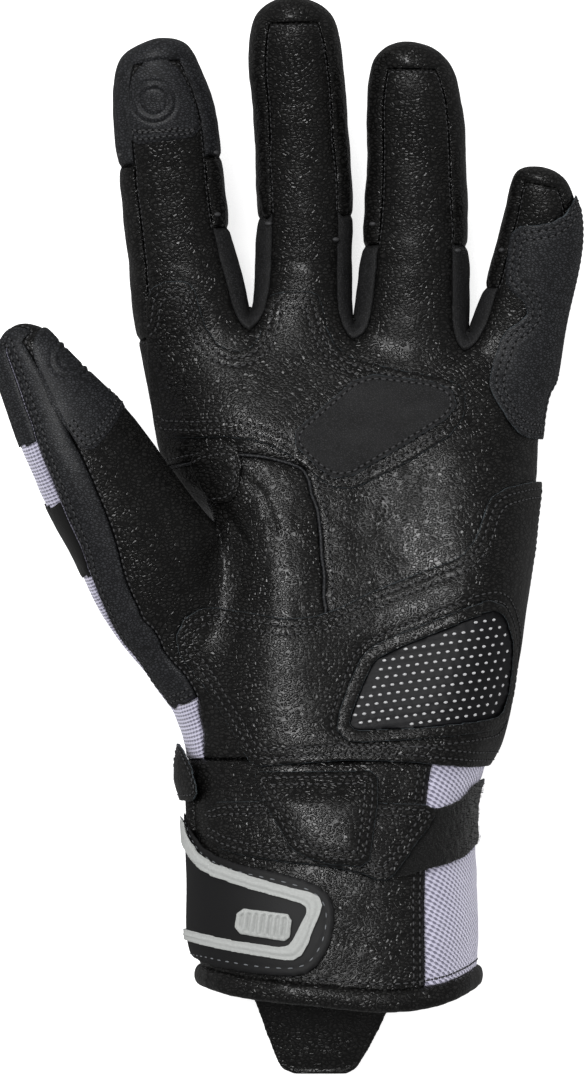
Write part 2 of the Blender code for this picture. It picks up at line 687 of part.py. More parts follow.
overlay("hook_loop_patch", BLACK_CLOTH, (
    (0.075, -0.013), (0.232, -0.013), (0.273, -0.006), (0.302, 0.009), (0.320, 0.028), (0.340, 0.043), (0.446, 0.051),
    (0.446, -0.070), (0.338, -0.087), (0.317, -0.111), (0.278, -0.128), (0.214, -0.140), (0.142, -0.157), (0.075, -0.162),
), 0.002, FIRST, OVERLAY, 0.010)
overlay("wrist_strap", LEATHER, (
    (-0.361, -0.002), (-0.168, 0.004), (0.064, 0.000), (0.214, -0.006), (0.235, -0.021), (0.113, -0.162), (0.085, -0.168),
    (0.039, -0.151), (-0.044, -0.136), (-0.157, -0.128), (-0.276, -0.113), (-0.345, -0.096), (-0.358, -0.074),
), 0.0025, strap_base, STRAP)
overlay("wrist_flap", LEATHER, (
    (-0.247, 0.064), (0.080, 0.068), (0.080, 0.000), (0.062, -0.106), (0.052, -0.138), (-0.044, -0.132), (-0.119, -0.115),
    (-0.152, -0.091), (-0.201, -0.017),
), 0.002, flap_base, STRAP)
overlay("strap_loop", LEATHER, (
    (-0.534, 0.130), (-0.441, 0.130), (-0.420, 0.106), (-0.402, 0.072), (-0.387, 0.034), (-0.381, -0.002), (-0.534, -0.002),
), 0.002, loop_base, STRAP, 0.008)
overlay("cuff_strap", RUBBER, (
    (-0.534, -0.013), (-0.425, -0.013), (-0.410, -0.051), (-0.389, -0.083), (-0.356, -0.109), (-0.276, -0.132), (-0.173, -0.149),
    (-0.095, -0.166), (-0.054, -0.185), (-0.034, -0.213), (-0.031, -0.255), (-0.044, -0.298), (-0.064, -0.332), (-0.090, -0.357),
    (-0.126, -0.368), (-0.224, -0.364), (-0.340, -0.351), (-0.405, -0.334), (-0.534, -0.319),
), 0.003, FIRST, 0.0016, 0.007)
FRAME_BASE = FIRST + 0.0016 + LAYER_GAP
overlay("strap_frame", PALE_RUBBER, (
    (-0.534, -0.026), (-0.430, -0.028), (-0.415, -0.068), (-0.394, -0.102), (-0.353, -0.128), (-0.250, -0.155), (-0.147, -0.179),
    (-0.082, -0.191), (-0.062, -0.206), (-0.067, -0.230), (-0.108, -0.311), (-0.124, -0.330), (-0.149, -0.334), (-0.276, -0.319),
    (-0.415, -0.300), (-0.534, -0.294), (-0.534, -0.268), (-0.415, -0.274), (-0.276, -0.294), (-0.165, -0.306), (-0.144, -0.298),
    (-0.103, -0.228), (-0.111, -0.215), (-0.157, -0.204), (-0.255, -0.183), (-0.366, -0.153), (-0.407, -0.128), (-0.430, -0.089),
    (-0.446, -0.055), (-0.534, -0.051),
), 0.0015, FRAME_BASE, 0.0008, 0.007)
overlay("strap_badge", PALE_RUBBER, (
    (-0.281, -0.223), (-0.139, -0.236), (-0.147, -0.294), (-0.289, -0.277),
), 0.0015, FRAME_BASE, 0.0009)

# The bound edge of the cuff: a padded ring just below the skin's open edge
after = {}
for face in skin_faces:
    for start, end in ((face[0], face[1]), (face[1], face[2]), (face[2], face[0])):
        after[(start, end)] = face
mouth = {}
for start, end in after:
    if (end, start) not in after:
        mouth[start] = end
first = min(mouth, key=lambda index: skin_points[index].x)
loop = [first]
while mouth[loop[-1]] != first:
    loop.append(mouth[loop[-1]])
BINDING_SIDES = 8
points = []
for index in loop:
    out = Vector((skin_normals[index].x, 0.0, skin_normals[index].z)).normalized()
    centre = skin_points[index] - out * WALL / 2
    centre.y -= BINDING_HEIGHT / 2 + LAYER_GAP
    for side in range(BINDING_SIDES):
        angle = 2 * math.pi * side / BINDING_SIDES
        wide = math.copysign(abs(math.cos(angle)) ** 0.8, math.cos(angle)) * BINDING_DEPTH / 2
        tall = math.copysign(abs(math.sin(angle)) ** 0.8, math.sin(angle)) * BINDING_HEIGHT / 2
        points.append(centre + out * wide + Vector((0.0, tall, 0.0)))
faces = []
for number in range(len(loop)):
    here = number * BINDING_SIDES
    there = (number + 1) % len(loop) * BINDING_SIDES
    for side in range(BINDING_SIDES):
        onward = (side + 1) % BINDING_SIDES
        faces.append((here + side, here + onward, there + onward, there + side))
binding = node("cuff_binding", points, faces, LEATHER)
check = bmesh.new()
check.from_mesh(binding.data)
bmesh.ops.recalc_face_normals(check, faces=check.faces)
check.to_mesh(binding.data)
check.free()

# The pull tab: left and right edge, then along, then the height of its underside in metres
TAB_ROWS = (
    (-0.219, 0.095, -0.315, 0.0034),
    (-0.229, 0.106, -0.351, 0.0035),
    (-0.240, 0.113, -0.374, 0.0049),
    (-0.245, 0.116, -0.426, 0.0050),
    (-0.232, 0.111, -0.451, 0.0048),
    (-0.216, 0.090, -0.489, 0.0038),
    (-0.196, 0.062, -0.534, 0.0022),
    (-0.180, 0.039, -0.566, 0.0012),
    (-0.168, 0.026, -0.581, 0.0009),
    (-0.139, 0.003, -0.591, 0.0008),
)
TAB_THICK = 0.0018
points = []
for left, right, along, height in TAB_ROWS:
    edge = 0.0008 / PALM_WIDTH
    points.append(place(left, along, height + TAB_THICK / 2))
    points.append(place(left + edge, along, height + TAB_THICK))
    points.append(place(right - edge, along, height + TAB_THICK))
    points.append(place(right, along, height + TAB_THICK / 2))
    points.append(place(right - edge, along, height))
    points.append(place(left + edge, along, height))
faces = [tuple(range(6)), tuple(reversed(range(len(points) - 6, len(points))))]
for number in range(len(TAB_ROWS) - 1):
    here = number * 6
    for side in range(6):
        onward = (side + 1) % 6
        faces.append((here + side, here + 6 + side, here + 6 + onward, here + onward))
tab = node("pull_tab", points, faces, LEATHER)
check = bmesh.new()
check.from_mesh(tab.data)
bmesh.ops.recalc_face_normals(check, faces=check.faces)
bmesh.ops.triangulate(check, faces=check.faces)
check.to_mesh(tab.data)
check.free()
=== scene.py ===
import json
import math

import bmesh
import bpy
import numpy as np
from mathutils import Matrix, Vector, kdtree, noise
from mathutils.bvhtree import BVHTree

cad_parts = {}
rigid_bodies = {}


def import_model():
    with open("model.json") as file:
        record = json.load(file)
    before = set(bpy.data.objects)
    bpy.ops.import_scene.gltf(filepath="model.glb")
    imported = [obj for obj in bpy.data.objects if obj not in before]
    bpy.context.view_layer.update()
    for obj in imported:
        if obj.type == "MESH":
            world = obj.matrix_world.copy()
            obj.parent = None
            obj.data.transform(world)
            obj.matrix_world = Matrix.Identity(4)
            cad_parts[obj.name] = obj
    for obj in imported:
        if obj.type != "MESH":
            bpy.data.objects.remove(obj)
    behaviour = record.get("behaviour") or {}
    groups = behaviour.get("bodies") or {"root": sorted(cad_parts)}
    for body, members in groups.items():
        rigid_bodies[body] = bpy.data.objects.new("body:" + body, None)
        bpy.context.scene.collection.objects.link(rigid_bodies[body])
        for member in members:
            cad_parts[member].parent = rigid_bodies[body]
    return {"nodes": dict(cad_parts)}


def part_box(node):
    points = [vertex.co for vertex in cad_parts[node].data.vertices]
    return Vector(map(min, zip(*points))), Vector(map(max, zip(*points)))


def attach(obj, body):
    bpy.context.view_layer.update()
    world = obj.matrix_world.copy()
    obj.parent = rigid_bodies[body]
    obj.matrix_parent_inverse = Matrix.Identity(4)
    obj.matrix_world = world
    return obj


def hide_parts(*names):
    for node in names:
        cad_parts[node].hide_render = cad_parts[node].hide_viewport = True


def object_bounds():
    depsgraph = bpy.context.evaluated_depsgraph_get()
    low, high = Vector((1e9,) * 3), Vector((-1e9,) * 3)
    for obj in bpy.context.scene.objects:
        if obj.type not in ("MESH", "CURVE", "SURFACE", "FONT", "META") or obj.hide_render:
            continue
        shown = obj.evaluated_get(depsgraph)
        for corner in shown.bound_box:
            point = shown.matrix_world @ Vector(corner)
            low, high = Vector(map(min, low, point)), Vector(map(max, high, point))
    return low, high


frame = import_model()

for spare in [held for held in bpy.data.objects if held.name in ("Cube", "Light", "Camera")]:
    bpy.data.objects.remove(spare)
cad_box = [list(corner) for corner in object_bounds()]
MM = 0.001


# The hand shell: goat leather, air mesh and gusset pieces cut flat and sewn edge to edge
# into a hand. All the panels are drawn as one smooth skin first, so that the seams meet,
# and then parted again along the seams.
PANELS = {
    "palm_panel": "black_leather",
    "thumb_panel": "black_leather",
    "back_panel": "black_leather",
    "index_sidewall_outer": "black_leather",
    "index_sidewall_inner": "black_leather",
    "middle_sidewall": "black_leather",
    "ring_sidewall": "black_leather",
    "little_sidewall": "black_leather",
    "cuff_front": "black_leather",
    "cuff_back": "black_leather",
    "index_tip_band": "smooth_leather",
    "thumb_sidewall": "smooth_leather",
    "gusset_index_middle": "suede",
    "gusset_middle_ring": "suede",
    "gusset_ring_little": "suede",
    "thumb_back": "light_mesh",
    "cuff_mesh": "light_mesh",
}
panel_names = list(PANELS)
SHELL_WALL = 1.2 * MM
SEAM_DEPTH = 0.55 * MM
SEAM_WIDTH = 0.75 * MM
PANEL_PUFF = 0.45 * MM
PUFF_REACH = 3.5 * MM
SWELL_HEIGHT = 0.28 * MM
SWELL_SCALE = 95
SHEET_BEND = math.radians(62)
OPEN_SHARE = 0.12
RIM_WELD = 0.8 * MM
LONGEST_EDGE = 11 * MM
THUMB_ROOT = Vector((-0.0265, -0.0204, 0.027))
THUMB_END = Vector((-0.0709, 0.0536, 0.041))


def merged_copy(node):
    """A welded working copy of one solid of the frame."""
    work = bmesh.new()
    work.from_mesh(frame["nodes"][node].data)
    bmesh.ops.remove_doubles(work, verts=work.verts, dist=0.002 * MM)
    work.normal_update()
    return work


def smooth_groups(work, bend):
    """The faces in groups that no edge sharper than bend divides."""
    left = set(work.faces)
    for first in work.faces:
        if first not in left:
            continue
        left.remove(first)
        group = [first]
        for face in group:
            for edge in face.edges:
                if len(edge.link_faces) == 2 and edge.calc_face_angle(3.0) < bend:
                    for other in edge.link_faces:
                        if other in left:
                            left.remove(other)
                            group.append(other)
        yield group


def surface_of(points, faces):
    """A surface that can be asked for its nearest point or met by a ray."""
    return BVHTree.FromPolygons([tuple(point) for point in points], [tuple(face) for face in faces])


copies = {node: merged_copy(node) for node in (*panel_names, "cuff_binding")}
points = []
faces = []
for work in copies.values():
    start = len(points)
    work.verts.index_update()
    points += [vert.co.copy() for vert in work.verts]
    faces += [[start + vert.index for vert in face.verts] for face in work.faces]
walls = surface_of(points, faces)

skin = bmesh.new()
for number, node in enumerate(panel_names):
    work = copies[node]
    inside = []
    for group in smooth_groups(work, SHEET_BEND):
        area = free = 0.0
        for face in group:
            centre = face.calc_center_median()
            area += face.calc_area()
            if walls.ray_cast(centre + face.normal * 0.02 * MM, face.normal)[0] is None:
                free += face.calc_area()
        if free < OPEN_SHARE * area:
            inside += group
    bmesh.ops.delete(work, geom=inside, context="FACES")
    for face in work.faces:
        face.material_index = number
    part = bpy.data.meshes.new("panel")
    work.to_mesh(part)
    skin.from_mesh(part)
    bpy.data.meshes.remove(part)
for work in copies.values():
    work.free()
rims = [vert for vert in skin.verts if vert.is_boundary]
bmesh.ops.remove_doubles(skin, verts=rims, dist=RIM_WELD)
for again in range(2):
    wide = [edge for edge in skin.edges if edge.calc_length() > LONGEST_EDGE]
    bmesh.ops.subdivide_edges(skin, edges=wide, cuts=1)
    bmesh.ops.triangulate(skin, faces=skin.faces)
skin.verts.index_update()
faceted = surface_of(
    [vert.co for vert in skin.verts],
    [[vert.index for vert in face.verts] for face in skin.faces],
)
bmesh.ops.join_triangles(
    skin, faces=skin.faces, cmp_materials=True,
    angle_face_threshold=math.radians(45), angle_shape_threshold=math.radians(65),
)
mesh = bpy.data.meshes.new("hand_shell")
skin.to_mesh(mesh)
skin.free()
hand = bpy.data.objects.new("hand_shell", mesh)
bpy.context.scene.collection.objects.link(hand)
for node in panel_names:
    mesh.materials.append(bpy.data.materials.new(node + "_place"))


def baked(made, *modifiers):
    """The object's mesh with these modifiers applied."""
    for kind, values in modifiers:
        modifier = made.modifiers.new(kind, kind)
        for key, value in values.items():
            setattr(modifier, key, value)
    bpy.context.view_layer.update()
    graph = bpy.context.evaluated_depsgraph_get()
    result = bpy.data.meshes.new_from_object(made.evaluated_get(graph))
    made.modifiers.clear()
    made.data = result
    return result


FINE = 3
mesh = baked(hand, ("SUBSURF", {"levels": FINE, "render_levels": FINE}))


def points_of(mesh):
    """The places of all vertices, one row each."""
    values = np.empty(len(mesh.vertices) * 3)
    mesh.vertices.foreach_get("co", values)
    return values.reshape(-1, 3)


def normals_of(mesh):
    """The normals of all vertices, one row each."""
    values = np.empty(len(mesh.vertices) * 3, np.float32)
    mesh.vertex_normals.foreach_get("vector", values)
    return values.reshape(-1, 3).astype(float)


def corners_of(mesh):
    """The vertex numbers of every quad."""
    values = np.empty(len(mesh.loops), np.int32)
    mesh.loops.foreach_get("vertex_index", values)
    return values.reshape(-1, 4)


skin_points = points_of(mesh)
skin_normals = normals_of(mesh)
quads = corners_of(mesh)
part_of = np.empty(len(mesh.polygons), np.int32)
mesh.polygons.foreach_get("material_index", part_of)
smooth_skin = surface_of(skin_points, quads.tolist())
soft_normals = skin_normals[quads].mean(axis=1)
soft_normals /= np.linalg.norm(soft_normals, axis=1, keepdims=True)

starts = quads.reshape(-1)
ends = np.roll(quads, -1, axis=1).reshape(-1)
sides = np.repeat(part_of, 4)
beside = {(a, b): part for a, b, part in zip(starts.tolist(), ends.tolist(), sides.tolist())}


def seam_lines(first, second):
    """The seams between two panels as lines of points, with the first panel on the left."""
    one = panel_names.index(first)
    two = panel_names.index(second)
    follow = {a: b for (a, b), part in beside.items() if part == one and beside.get((b, a)) == two}
    lines = []
    while follow:
        targets = set(follow.values())
        heads = [a for a in follow if a not in targets] or [next(iter(follow))]
        for head in heads:
            line = [head]
            while line[-1] in follow:
                line.append(follow.pop(line[-1]))
            if len(line) > 3:
                lines.append(skin_points[line])
    return lines


lowest = np.full(len(skin_points), 999)
highest = np.full(len(skin_points), -1)
np.minimum.at(lowest, starts, sides)
np.maximum.at(highest, starts, sides)
on_seam = np.nonzero(lowest != highest)[0]
seam_tree = kdtree.KDTree(len(on_seam))
for number, index in enumerate(on_seam.tolist()):
    seam_tree.insert(skin_points[index], number)
seam_tree.balance()
from_seam = np.array([seam_tree.find(point)[2] for point in skin_points.tolist()])

# Creases pressed into the leather by the bending hand: line on the palm side in mm,
# half width and depth in mm.
CREASES = (
    (((-36.8, 28.9), (-26.4, 27.8), (-14.4, 24.2)), 1.2, 0.5),
    (((-15.5, 17.9), (-7.7, 12.2), (-4.0, 2.3)), 1.0, 0.4),
    (((-24.8, 12.2), (-16.5, 6.2), (-10.8, -2.3)), 1.3, 0.4),
    (((-42.5, 17.9), (-34.2, 4.9), (-29.5, -8.1)), 1.6, 0.3),
    (((46.4, 23.7), (55.8, 20.0), (65.9, 16.9)), 1.2, 0.4),
    (((46.4, 30.9), (54.2, 27.8), (62.0, 24.2)), 1.0, 0.3),
    (((-41.0, 70.5), (-31.1, 72.0), (-21.7, 69.4)), 1.0, 0.3),
    (((-7.7, 71.0), (2.2, 72.0), (11.1, 70.5)), 1.0, 0.3),
    (((20.4, 71.0), (30.3, 71.5), (39.1, 69.9)), 1.0, 0.3),
    (((-7.7, 112.6), (1.2, 113.4), (9.0, 112.1)), 0.9, 0.25),
    (((-40.4, 95.4), (-32.1, 96.5), (-22.2, 94.9)), 0.9, 0.25),
    (((49.0, 66.0), (55.5, 67.3), (61.5, 64.7)), 0.9, 0.3),
    (((-22.5, -91.3), (2.2, -94.4), (33.4, -93.3)), 1.6, 0.35),
    (((10.0, -100.4), (23.0, -104.3), (34.7, -102.7)), 1.4, 0.3),
)


def from_line(points, line):
    """How far the points lie from a line on the palm side, seen from above."""
    flat = points[:, :2]
    near = np.full(len(points), 1.0)
    for a, b in zip(line, line[1:]):
        a = np.array(a) * MM
        b = np.array(b) * MM
        share = np.clip(((flat - a) @ (b - a)) / ((b - a) @ (b - a)), 0, 1)
        near = np.minimum(near, np.linalg.norm(flat - a - share[:, None] * (b - a), axis=1))
    return near


rise = PANEL_PUFF * (1 - np.exp(-(from_seam / PUFF_REACH) ** 2))
rise -= SEAM_DEPTH * np.exp(-(from_seam / SEAM_WIDTH) ** 2)
for line, width, depth in CREASES:
    near = from_line(skin_points, line)
    rise -= depth * MM * np.exp(-(near / (width * MM)) ** 2) * (skin_normals[:, 2] > 0.1)
swell = np.array([
    noise.fractal(Vector(point) * SWELL_SCALE, 0.9, 2.0, 3) for point in skin_points.tolist()])
rise += SWELL_HEIGHT * swell
dressed_points = skin_points + skin_normals * rise[:, None]
mesh.vertices.foreach_set("co", dressed_points.astype(np.float32).reshape(-1))
mesh.update()
dressed_skin = surface_of(dressed_points, quads.tolist())


def new_finish(name, roughness, **settings):
    """A node material whose even values stand on the shader's own sockets."""
    made = bpy.data.materials.new(name)
    made.use_nodes = True
    tree = made.node_tree
    shader = tree.nodes["Principled BSDF"]
    shader.inputs["Roughness"].default_value = roughness
    for key, value in settings.items():
        shader.inputs[key.replace("_", " ")].default_value = value
    return made, tree, shader


def add(tree, kind, inputs=None, **settings):
    """One shader node with its settings, values and links."""
    node = tree.nodes.new("ShaderNode" + kind)
    for key, value in settings.items():
        setattr(node, key, value)
    for key, value in (inputs or {}).items():
        if isinstance(value, bpy.types.NodeSocket):
            tree.links.new(value, node.inputs[key])
        else:
            node.inputs[key].default_value = value
    return node


def leather(name, colour, roughness, cell=1.05, depth=0.13, fold=0.3):
    """Pebbled hide: rounded cells, a little wider than long, on soft folds, with painted shade darkening
    the valleys between the cells.
    """
    made, tree, shader = new_finish(name, roughness)
    place = add(tree, "TexCoord").outputs["Object"]
    bend = add(tree, "TexNoise", {"Vector": place, "Scale": 300.0, "Detail": 1.0})
    bent = add(tree, "VectorMath", {0: bend.outputs["Color"], "Scale": 0.0007}, operation="SCALE")
    warped = add(tree, "VectorMath", {0: place, 1: bent.outputs[0]}, operation="ADD")
    drawn = add(tree, "VectorMath", {0: warped.outputs[0], 1: (0.85, 1.2, 0.35)}, operation="MULTIPLY")
    cells = add(
        tree, "TexVoronoi", {"Vector": drawn.outputs[0], "Scale": 1000.0 / cell},
        feature="DISTANCE_TO_EDGE")
    pebble = add(
        tree, "MapRange", {"Value": cells.outputs["Distance"], "From Max": 0.34},
        interpolation_type="SMOOTHERSTEP")
    folds = add(tree, "TexNoise", {"Vector": place, "Scale": 120.0, "Detail": 2.0, "Roughness": 0.5})
    folded = add(tree, "Bump", {
        "Height": folds.outputs["Fac"], "Strength": 1.0, "Distance": fold * MM})
    pebbled = add(tree, "Bump", {
        "Height": pebble.outputs[0], "Strength": 1.0, "Distance": depth * MM,
        "Normal": folded.outputs[0]})
    tree.links.new(pebbled.outputs[0], shader.inputs["Normal"])
    # Painted shade: the valleys between the pebbles are coloured a quarter as bright as the cells,
    # following their depth.
    valley_shade = tuple(value * 0.25 for value in colour)
    tone = add(
        tree, "Mix", {"Factor": pebble.outputs[0], "A": (*valley_shade, 1.0), "B": (*colour, 1.0)},
        data_type="RGBA")
    tree.links.new(tone.outputs["Result"], shader.inputs["Base Color"])
    gloss = add(tree, "MapRange", {
        "Value": folds.outputs["Fac"], "From Min": 0.3, "From Max": 0.7,
        "To Min": roughness - 0.06, "To Max": roughness + 0.08})
    tree.links.new(gloss.outputs[0], shader.inputs["Roughness"])
    return made


black_leather = leather("pebbled_black_leather", (0.012, 0.0117, 0.0114), 0.28)
charcoal_leather = leather("fine_charcoal_leather", (0.026, 0.027, 0.030), 0.50, 0.75, 0.05, 0.3)
suede = leather("gusset_suede", (0.020, 0.020, 0.021), 0.75, 0.5, 0.04, 0.3)


def air_mesh(name, turn, pitch, bar):
    """Spacer knit: rows of bars between slanting ribs, with small open holes. It reads the "weave"
    attribute, whose X runs round the piece and Y along it."""
    made, tree, shader = new_finish(name, 0.8, Sheen_Weight=0.25)
    weave = add(tree, "Attribute", attribute_name="weave").outputs["Vector"]
    turned = add(tree, "Mapping", {"Vector": weave, "Rotation": (0.0, 0.0, turn)})
    parts = add(tree, "SeparateXYZ", {0: turned.outputs[0]})

    def wave(value, length):
        """A wave along one direction, its length in mm."""
        scaled = add(
            tree, "Math", {0: value, 1: 2 * math.pi / (length * MM)}, operation="MULTIPLY")
        return add(tree, "Math", {0: scaled.outputs[0]}, operation="SINE").outputs[0]

    along = wave(parts.outputs["Y"], pitch)
    across = wave(parts.outputs["X"], bar)
    lift = add(tree, "Math", {0: across, 1: 0.55, 2: along}, operation="MULTIPLY_ADD")
    knit = add(
        tree, "MapRange", {"Value": lift.outputs[0], "From Min": -1.05, "From Max": 0.3},
        interpolation_type="SMOOTHSTEP")
    yarn = add(tree, "TexNoise", {"Vector": weave, "Scale": 2600.0, "Detail": 2.0})
    height = add(
        tree, "Math", {0: yarn.outputs["Fac"], 1: 0.25, 2: knit.outputs[0]},
        operation="MULTIPLY_ADD")
    bump = add(tree, "Bump", {"Height": height.outputs[0], "Strength": 1.0, "Distance": 0.25 * MM})
    tree.links.new(bump.outputs[0], shader.inputs["Normal"])
    tone = add(tree, "Mix", {
        "Factor": knit.outputs[0], "A": (0.15, 0.145, 0.20, 1.0), "B": (0.47, 0.455, 0.57, 1.0)},
        data_type="RGBA")
    tree.links.new(tone.outputs["Result"], shader.inputs["Base Color"])
    return made


cuff_knit = air_mesh("cuff_air_mesh", 0.5, 1.15, 1.7)
thumb_knit = air_mesh("thumb_air_mesh", 0.0, 0.95, 1.5)
PANEL_FINISH = {
    "black_leather": black_leather,
    "smooth_leather": charcoal_leather,
    "suede": suede,
    "light_mesh": thumb_knit,
}


def around_piece(made, node):
    """Weave coordinates in metres: the way round the wrist or the thumb, and the way along it."""
    foot, tip, radius = Vector((0.014, -0.12, 0.021)), Vector((0.014, -0.06, 0.021)), 0.038
    if node == "thumb_back":
        foot, tip, radius = THUMB_ROOT, THUMB_END, 0.019
    axis = (tip - foot).normalized()
    side = axis.cross(Vector((0, 0, 1))).normalized()
    front = side.cross(axis)
    values = points_of(made.data) - np.array(foot)
    angle = np.arctan2(values @ np.array(side), values @ np.array(front))
    weave = np.column_stack([angle * radius, values @ np.array(axis), np.zeros(len(values))])
    attribute = made.data.attributes.new("weave", "FLOAT_VECTOR", "POINT")
    attribute.data.foreach_set("vector", weave.astype(np.float32).reshape(-1))
    if node == "cuff_mesh":
        made.data.materials[0] = cuff_knit


mesh.polygons.foreach_set("use_smooth", np.ones(len(part_of), bool))
bpy.ops.object.select_all(action="DESELECT")
bpy.context.view_layer.objects.active = hand
hand.select_set(True)
bpy.ops.object.mode_set(mode="EDIT")
bpy.ops.mesh.separate(type="MATERIAL")
bpy.ops.object.mode_set(mode="OBJECT")
for made in list(bpy.context.selected_objects):
    number = next(iter(made.data.polygons)).material_index
    node = made.data.materials[number].name.removesuffix("_place")
    made.name = node + "_shell"
    made.data.materials.clear()
    made.data.materials.append(PANEL_FINISH[PANELS[node]])
    wall = made.modifiers.new("wall", "SOLIDIFY")
    wall.thickness = SHELL_WALL
    wall.offset = -1.0
    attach(made, "root")
    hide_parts(node)
    if PANELS[node] == "light_mesh":
        around_piece(made, node)
for left_over in [held for held in bpy.data.materials if held.name.endswith("_place")]:
    bpy.data.materials.remove(left_over)


# The palm reinforcement: a second layer of leather over the knuckle pads, cut with a raw
# blue-grey edge and held by two rows of black stitches along its border.
def top_loops(work):
    """The outlines of a sheet's upper side, its faces on the left."""
    work.normal_update()
    upper = {}
    for face in work.faces:
        foot, normal, number, reach = faceted.find_nearest(face.calc_center_median())
        if face.normal.dot(normal) > 0.55:
            upper[face] = True
    follow = {}
    for face in upper:
        for loop in face.loops:
            other = loop.link_loop_radial_next.face
            if other not in upper:
                follow[loop.vert] = loop.link_loop_next.vert
    lines = []
    while follow:
        head = next(iter(follow))
        line = [head]
        while line[-1] in follow:
            line.append(follow.pop(line[-1]))
        if len(line) > 8:
            lines.append(np.array([vert.co for vert in line]))
    return lines


LINE_STEP = 0.5 * MM
CLOSED_WITHIN = 1.5 * MM


def resampled(points, step=LINE_STEP):
    """The same line with its points at one even distance."""
    lengths = np.linalg.norm(np.diff(points, axis=0), axis=1)
    along = np.concatenate([[0.0], np.cumsum(lengths)])
    even = np.linspace(0.0, along[-1], max(3, int(round(along[-1] / step)) + 1))
    return np.stack([np.interp(even, along, points[:, axis]) for axis in range(3)], axis=1)


def eased(points, rounds):
    """The line with its corners rounded."""
    closed = np.linalg.norm(points[0] - points[-1]) < CLOSED_WITHIN
    for again in range(rounds):
        if closed:
            points[-1] = points[0]
            ring = points[:-1]
            ring = (np.roll(ring, 1, axis=0) + 2 * ring + np.roll(ring, -1, axis=0)) / 4
            points = np.concatenate([ring, ring[:1]])
        else:
            points[1:-1] = (points[:-2] + 2 * points[1:-1] + points[2:]) / 4
    return points


def settled(point):
    """A point of the coarse frame carried over to the smooth skin: its foot there, the normal
    and its own height."""
    foot, normal, number, reach = faceted.find_nearest(point)
    height = reach if (Vector(point) - foot).dot(normal) > 0 else -reach
    spot, flat, number, reach = smooth_skin.find_nearest(foot)
    return np.array(spot), soft_normals[number], height


def neighbours(mesh):
    """The two vertex numbers of every edge."""
    ends = np.empty(len(mesh.edges) * 2, np.int32)
    mesh.edges.foreach_get("vertices", ends)
    return ends.reshape(-1, 2)


def averaged(values, edges, count):
    """The mean of each vertex's neighbours."""
    total = np.zeros_like(values)
    np.add.at(total, edges[:, 0], values[edges[:, 1]])
    np.add.at(total, edges[:, 1], values[edges[:, 0]])
    return total / np.maximum(count, 1)[:, None]


ROW_DEPTH = 0.16
ROW_WIDTH = 0.45 * MM
SHEET_PUFF_REACH = 4 * MM
HEM_REACH = 0.6 * MM
CUT_EDGE_REACH = 1.6 * MM
FEET_ROUNDS = 8


def laid_over(
        node, name, finish, edge_finish, voxel=0.45, puff=0.25, rows=(2.0, 4.0),
        relief=None, hem=0.12, raised=0.0, calm=3):
    """A sheet sewn on the shell, from its solid in the frame: evened out, settled on the smooth
    skin, its outline eased, its edge rolled and its face drawn down along the rows of stitches.
    The sizes are in mm, and calm is how many times its heights are evened."""
    work = merged_copy(node)
    lines = top_loops(work)
    mesh = bpy.data.meshes.new(name)
    work.to_mesh(mesh)
    work.free()
    made = bpy.data.objects.new(name, mesh)
    bpy.context.scene.collection.objects.link(made)
    mesh = baked(made, ("REMESH", {"mode": "VOXEL", "voxel_size": voxel * MM, "adaptivity": 0.0}))
    made.data.name = name
    points = points_of(mesh)
    normals = normals_of(mesh)
    edges = neighbours(mesh)
    count = np.bincount(edges.reshape(-1), minlength=len(points))
    feet = np.empty_like(points)
    ups = np.empty_like(points)
    heights = np.empty(len(points))
    for number, point in enumerate(points.tolist()):
        feet[number], ups[number], heights[number] = settled(point)
    lines = [eased(resampled(line), 5) for line in lines]
    border = kdtree.KDTree(sum(len(line) for line in lines))
    number = 0
    for line in lines:
        for point in line.tolist():
            border.insert(point, number)
            number += 1
    border.balance()
    inset = np.array([border.find(point)[2] for point in points.tolist()])
    facing = (normals * ups).sum(axis=1)
    top = np.clip((facing - 0.35) / 0.3, 0, 1)
    lift = puff * (1 - np.exp(-(inset / SHEET_PUFF_REACH) ** 2)) - hem * np.exp(-(inset / HEM_REACH) ** 2)
    for row in rows:
        lift -= ROW_DEPTH * np.exp(-((inset - row * MM) / ROW_WIDTH) ** 2)
    if relief:
        lift += relief(feet / MM, inset / MM)
    heights += (lift + raised) * MM * top
    for again in range(2):
        ups = 0.5 * ups + 0.5 * averaged(ups, edges, count)
    ups /= np.linalg.norm(ups, axis=1, keepdims=True)
    for again in range(calm):
        means = averaged(np.column_stack([feet, heights]), edges, count)
        if again < FEET_ROUNDS:
            feet = 0.5 * feet + 0.5 * means[:, :3]
        heights = np.where(top > 0.9, 0.5 * heights + 0.5 * means[:, 3], heights)
    points = feet + ups * heights[:, None]
    mesh.vertices.foreach_set("co", points.astype(np.float32).reshape(-1))
    mesh.materials.clear()
    mesh.materials.append(finish)
    mesh.materials.append(edge_finish)
    corners = corners_of(mesh)
    steep = np.abs(facing[corners]).mean(axis=1) < 0.62
    cut = steep & (inset[corners].mean(axis=1) < CUT_EDGE_REACH)
    mesh.polygons.foreach_set("material_index", cut.astype(np.int32))
    mesh.polygons.foreach_set("use_smooth", np.ones(len(cut), bool))
    mesh.update()
    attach(made, "root")
    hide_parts(node)
    surface = surface_of(points, corners.tolist())
    return made, lines, surface


def skin_at(point):
    """The smooth skin below a point: its place and its soft normal."""
    spot, normal, number, reach = smooth_skin.find_nearest(point)
    return spot, Vector(soft_normals[number])


def top_at(surface, point, normal):
    """The upper side of a surface at a point, met from outside."""
    return surface.ray_cast(Vector(point) + normal * 5 * MM, -normal, 8 * MM)[0]


def from_above(surface, x, y):
    """Where a surface is met from straight above: its place and its normal, in metres."""
    return surface.ray_cast(Vector((x, y, 0.09)), Vector((0, 0, -1)))[:2]


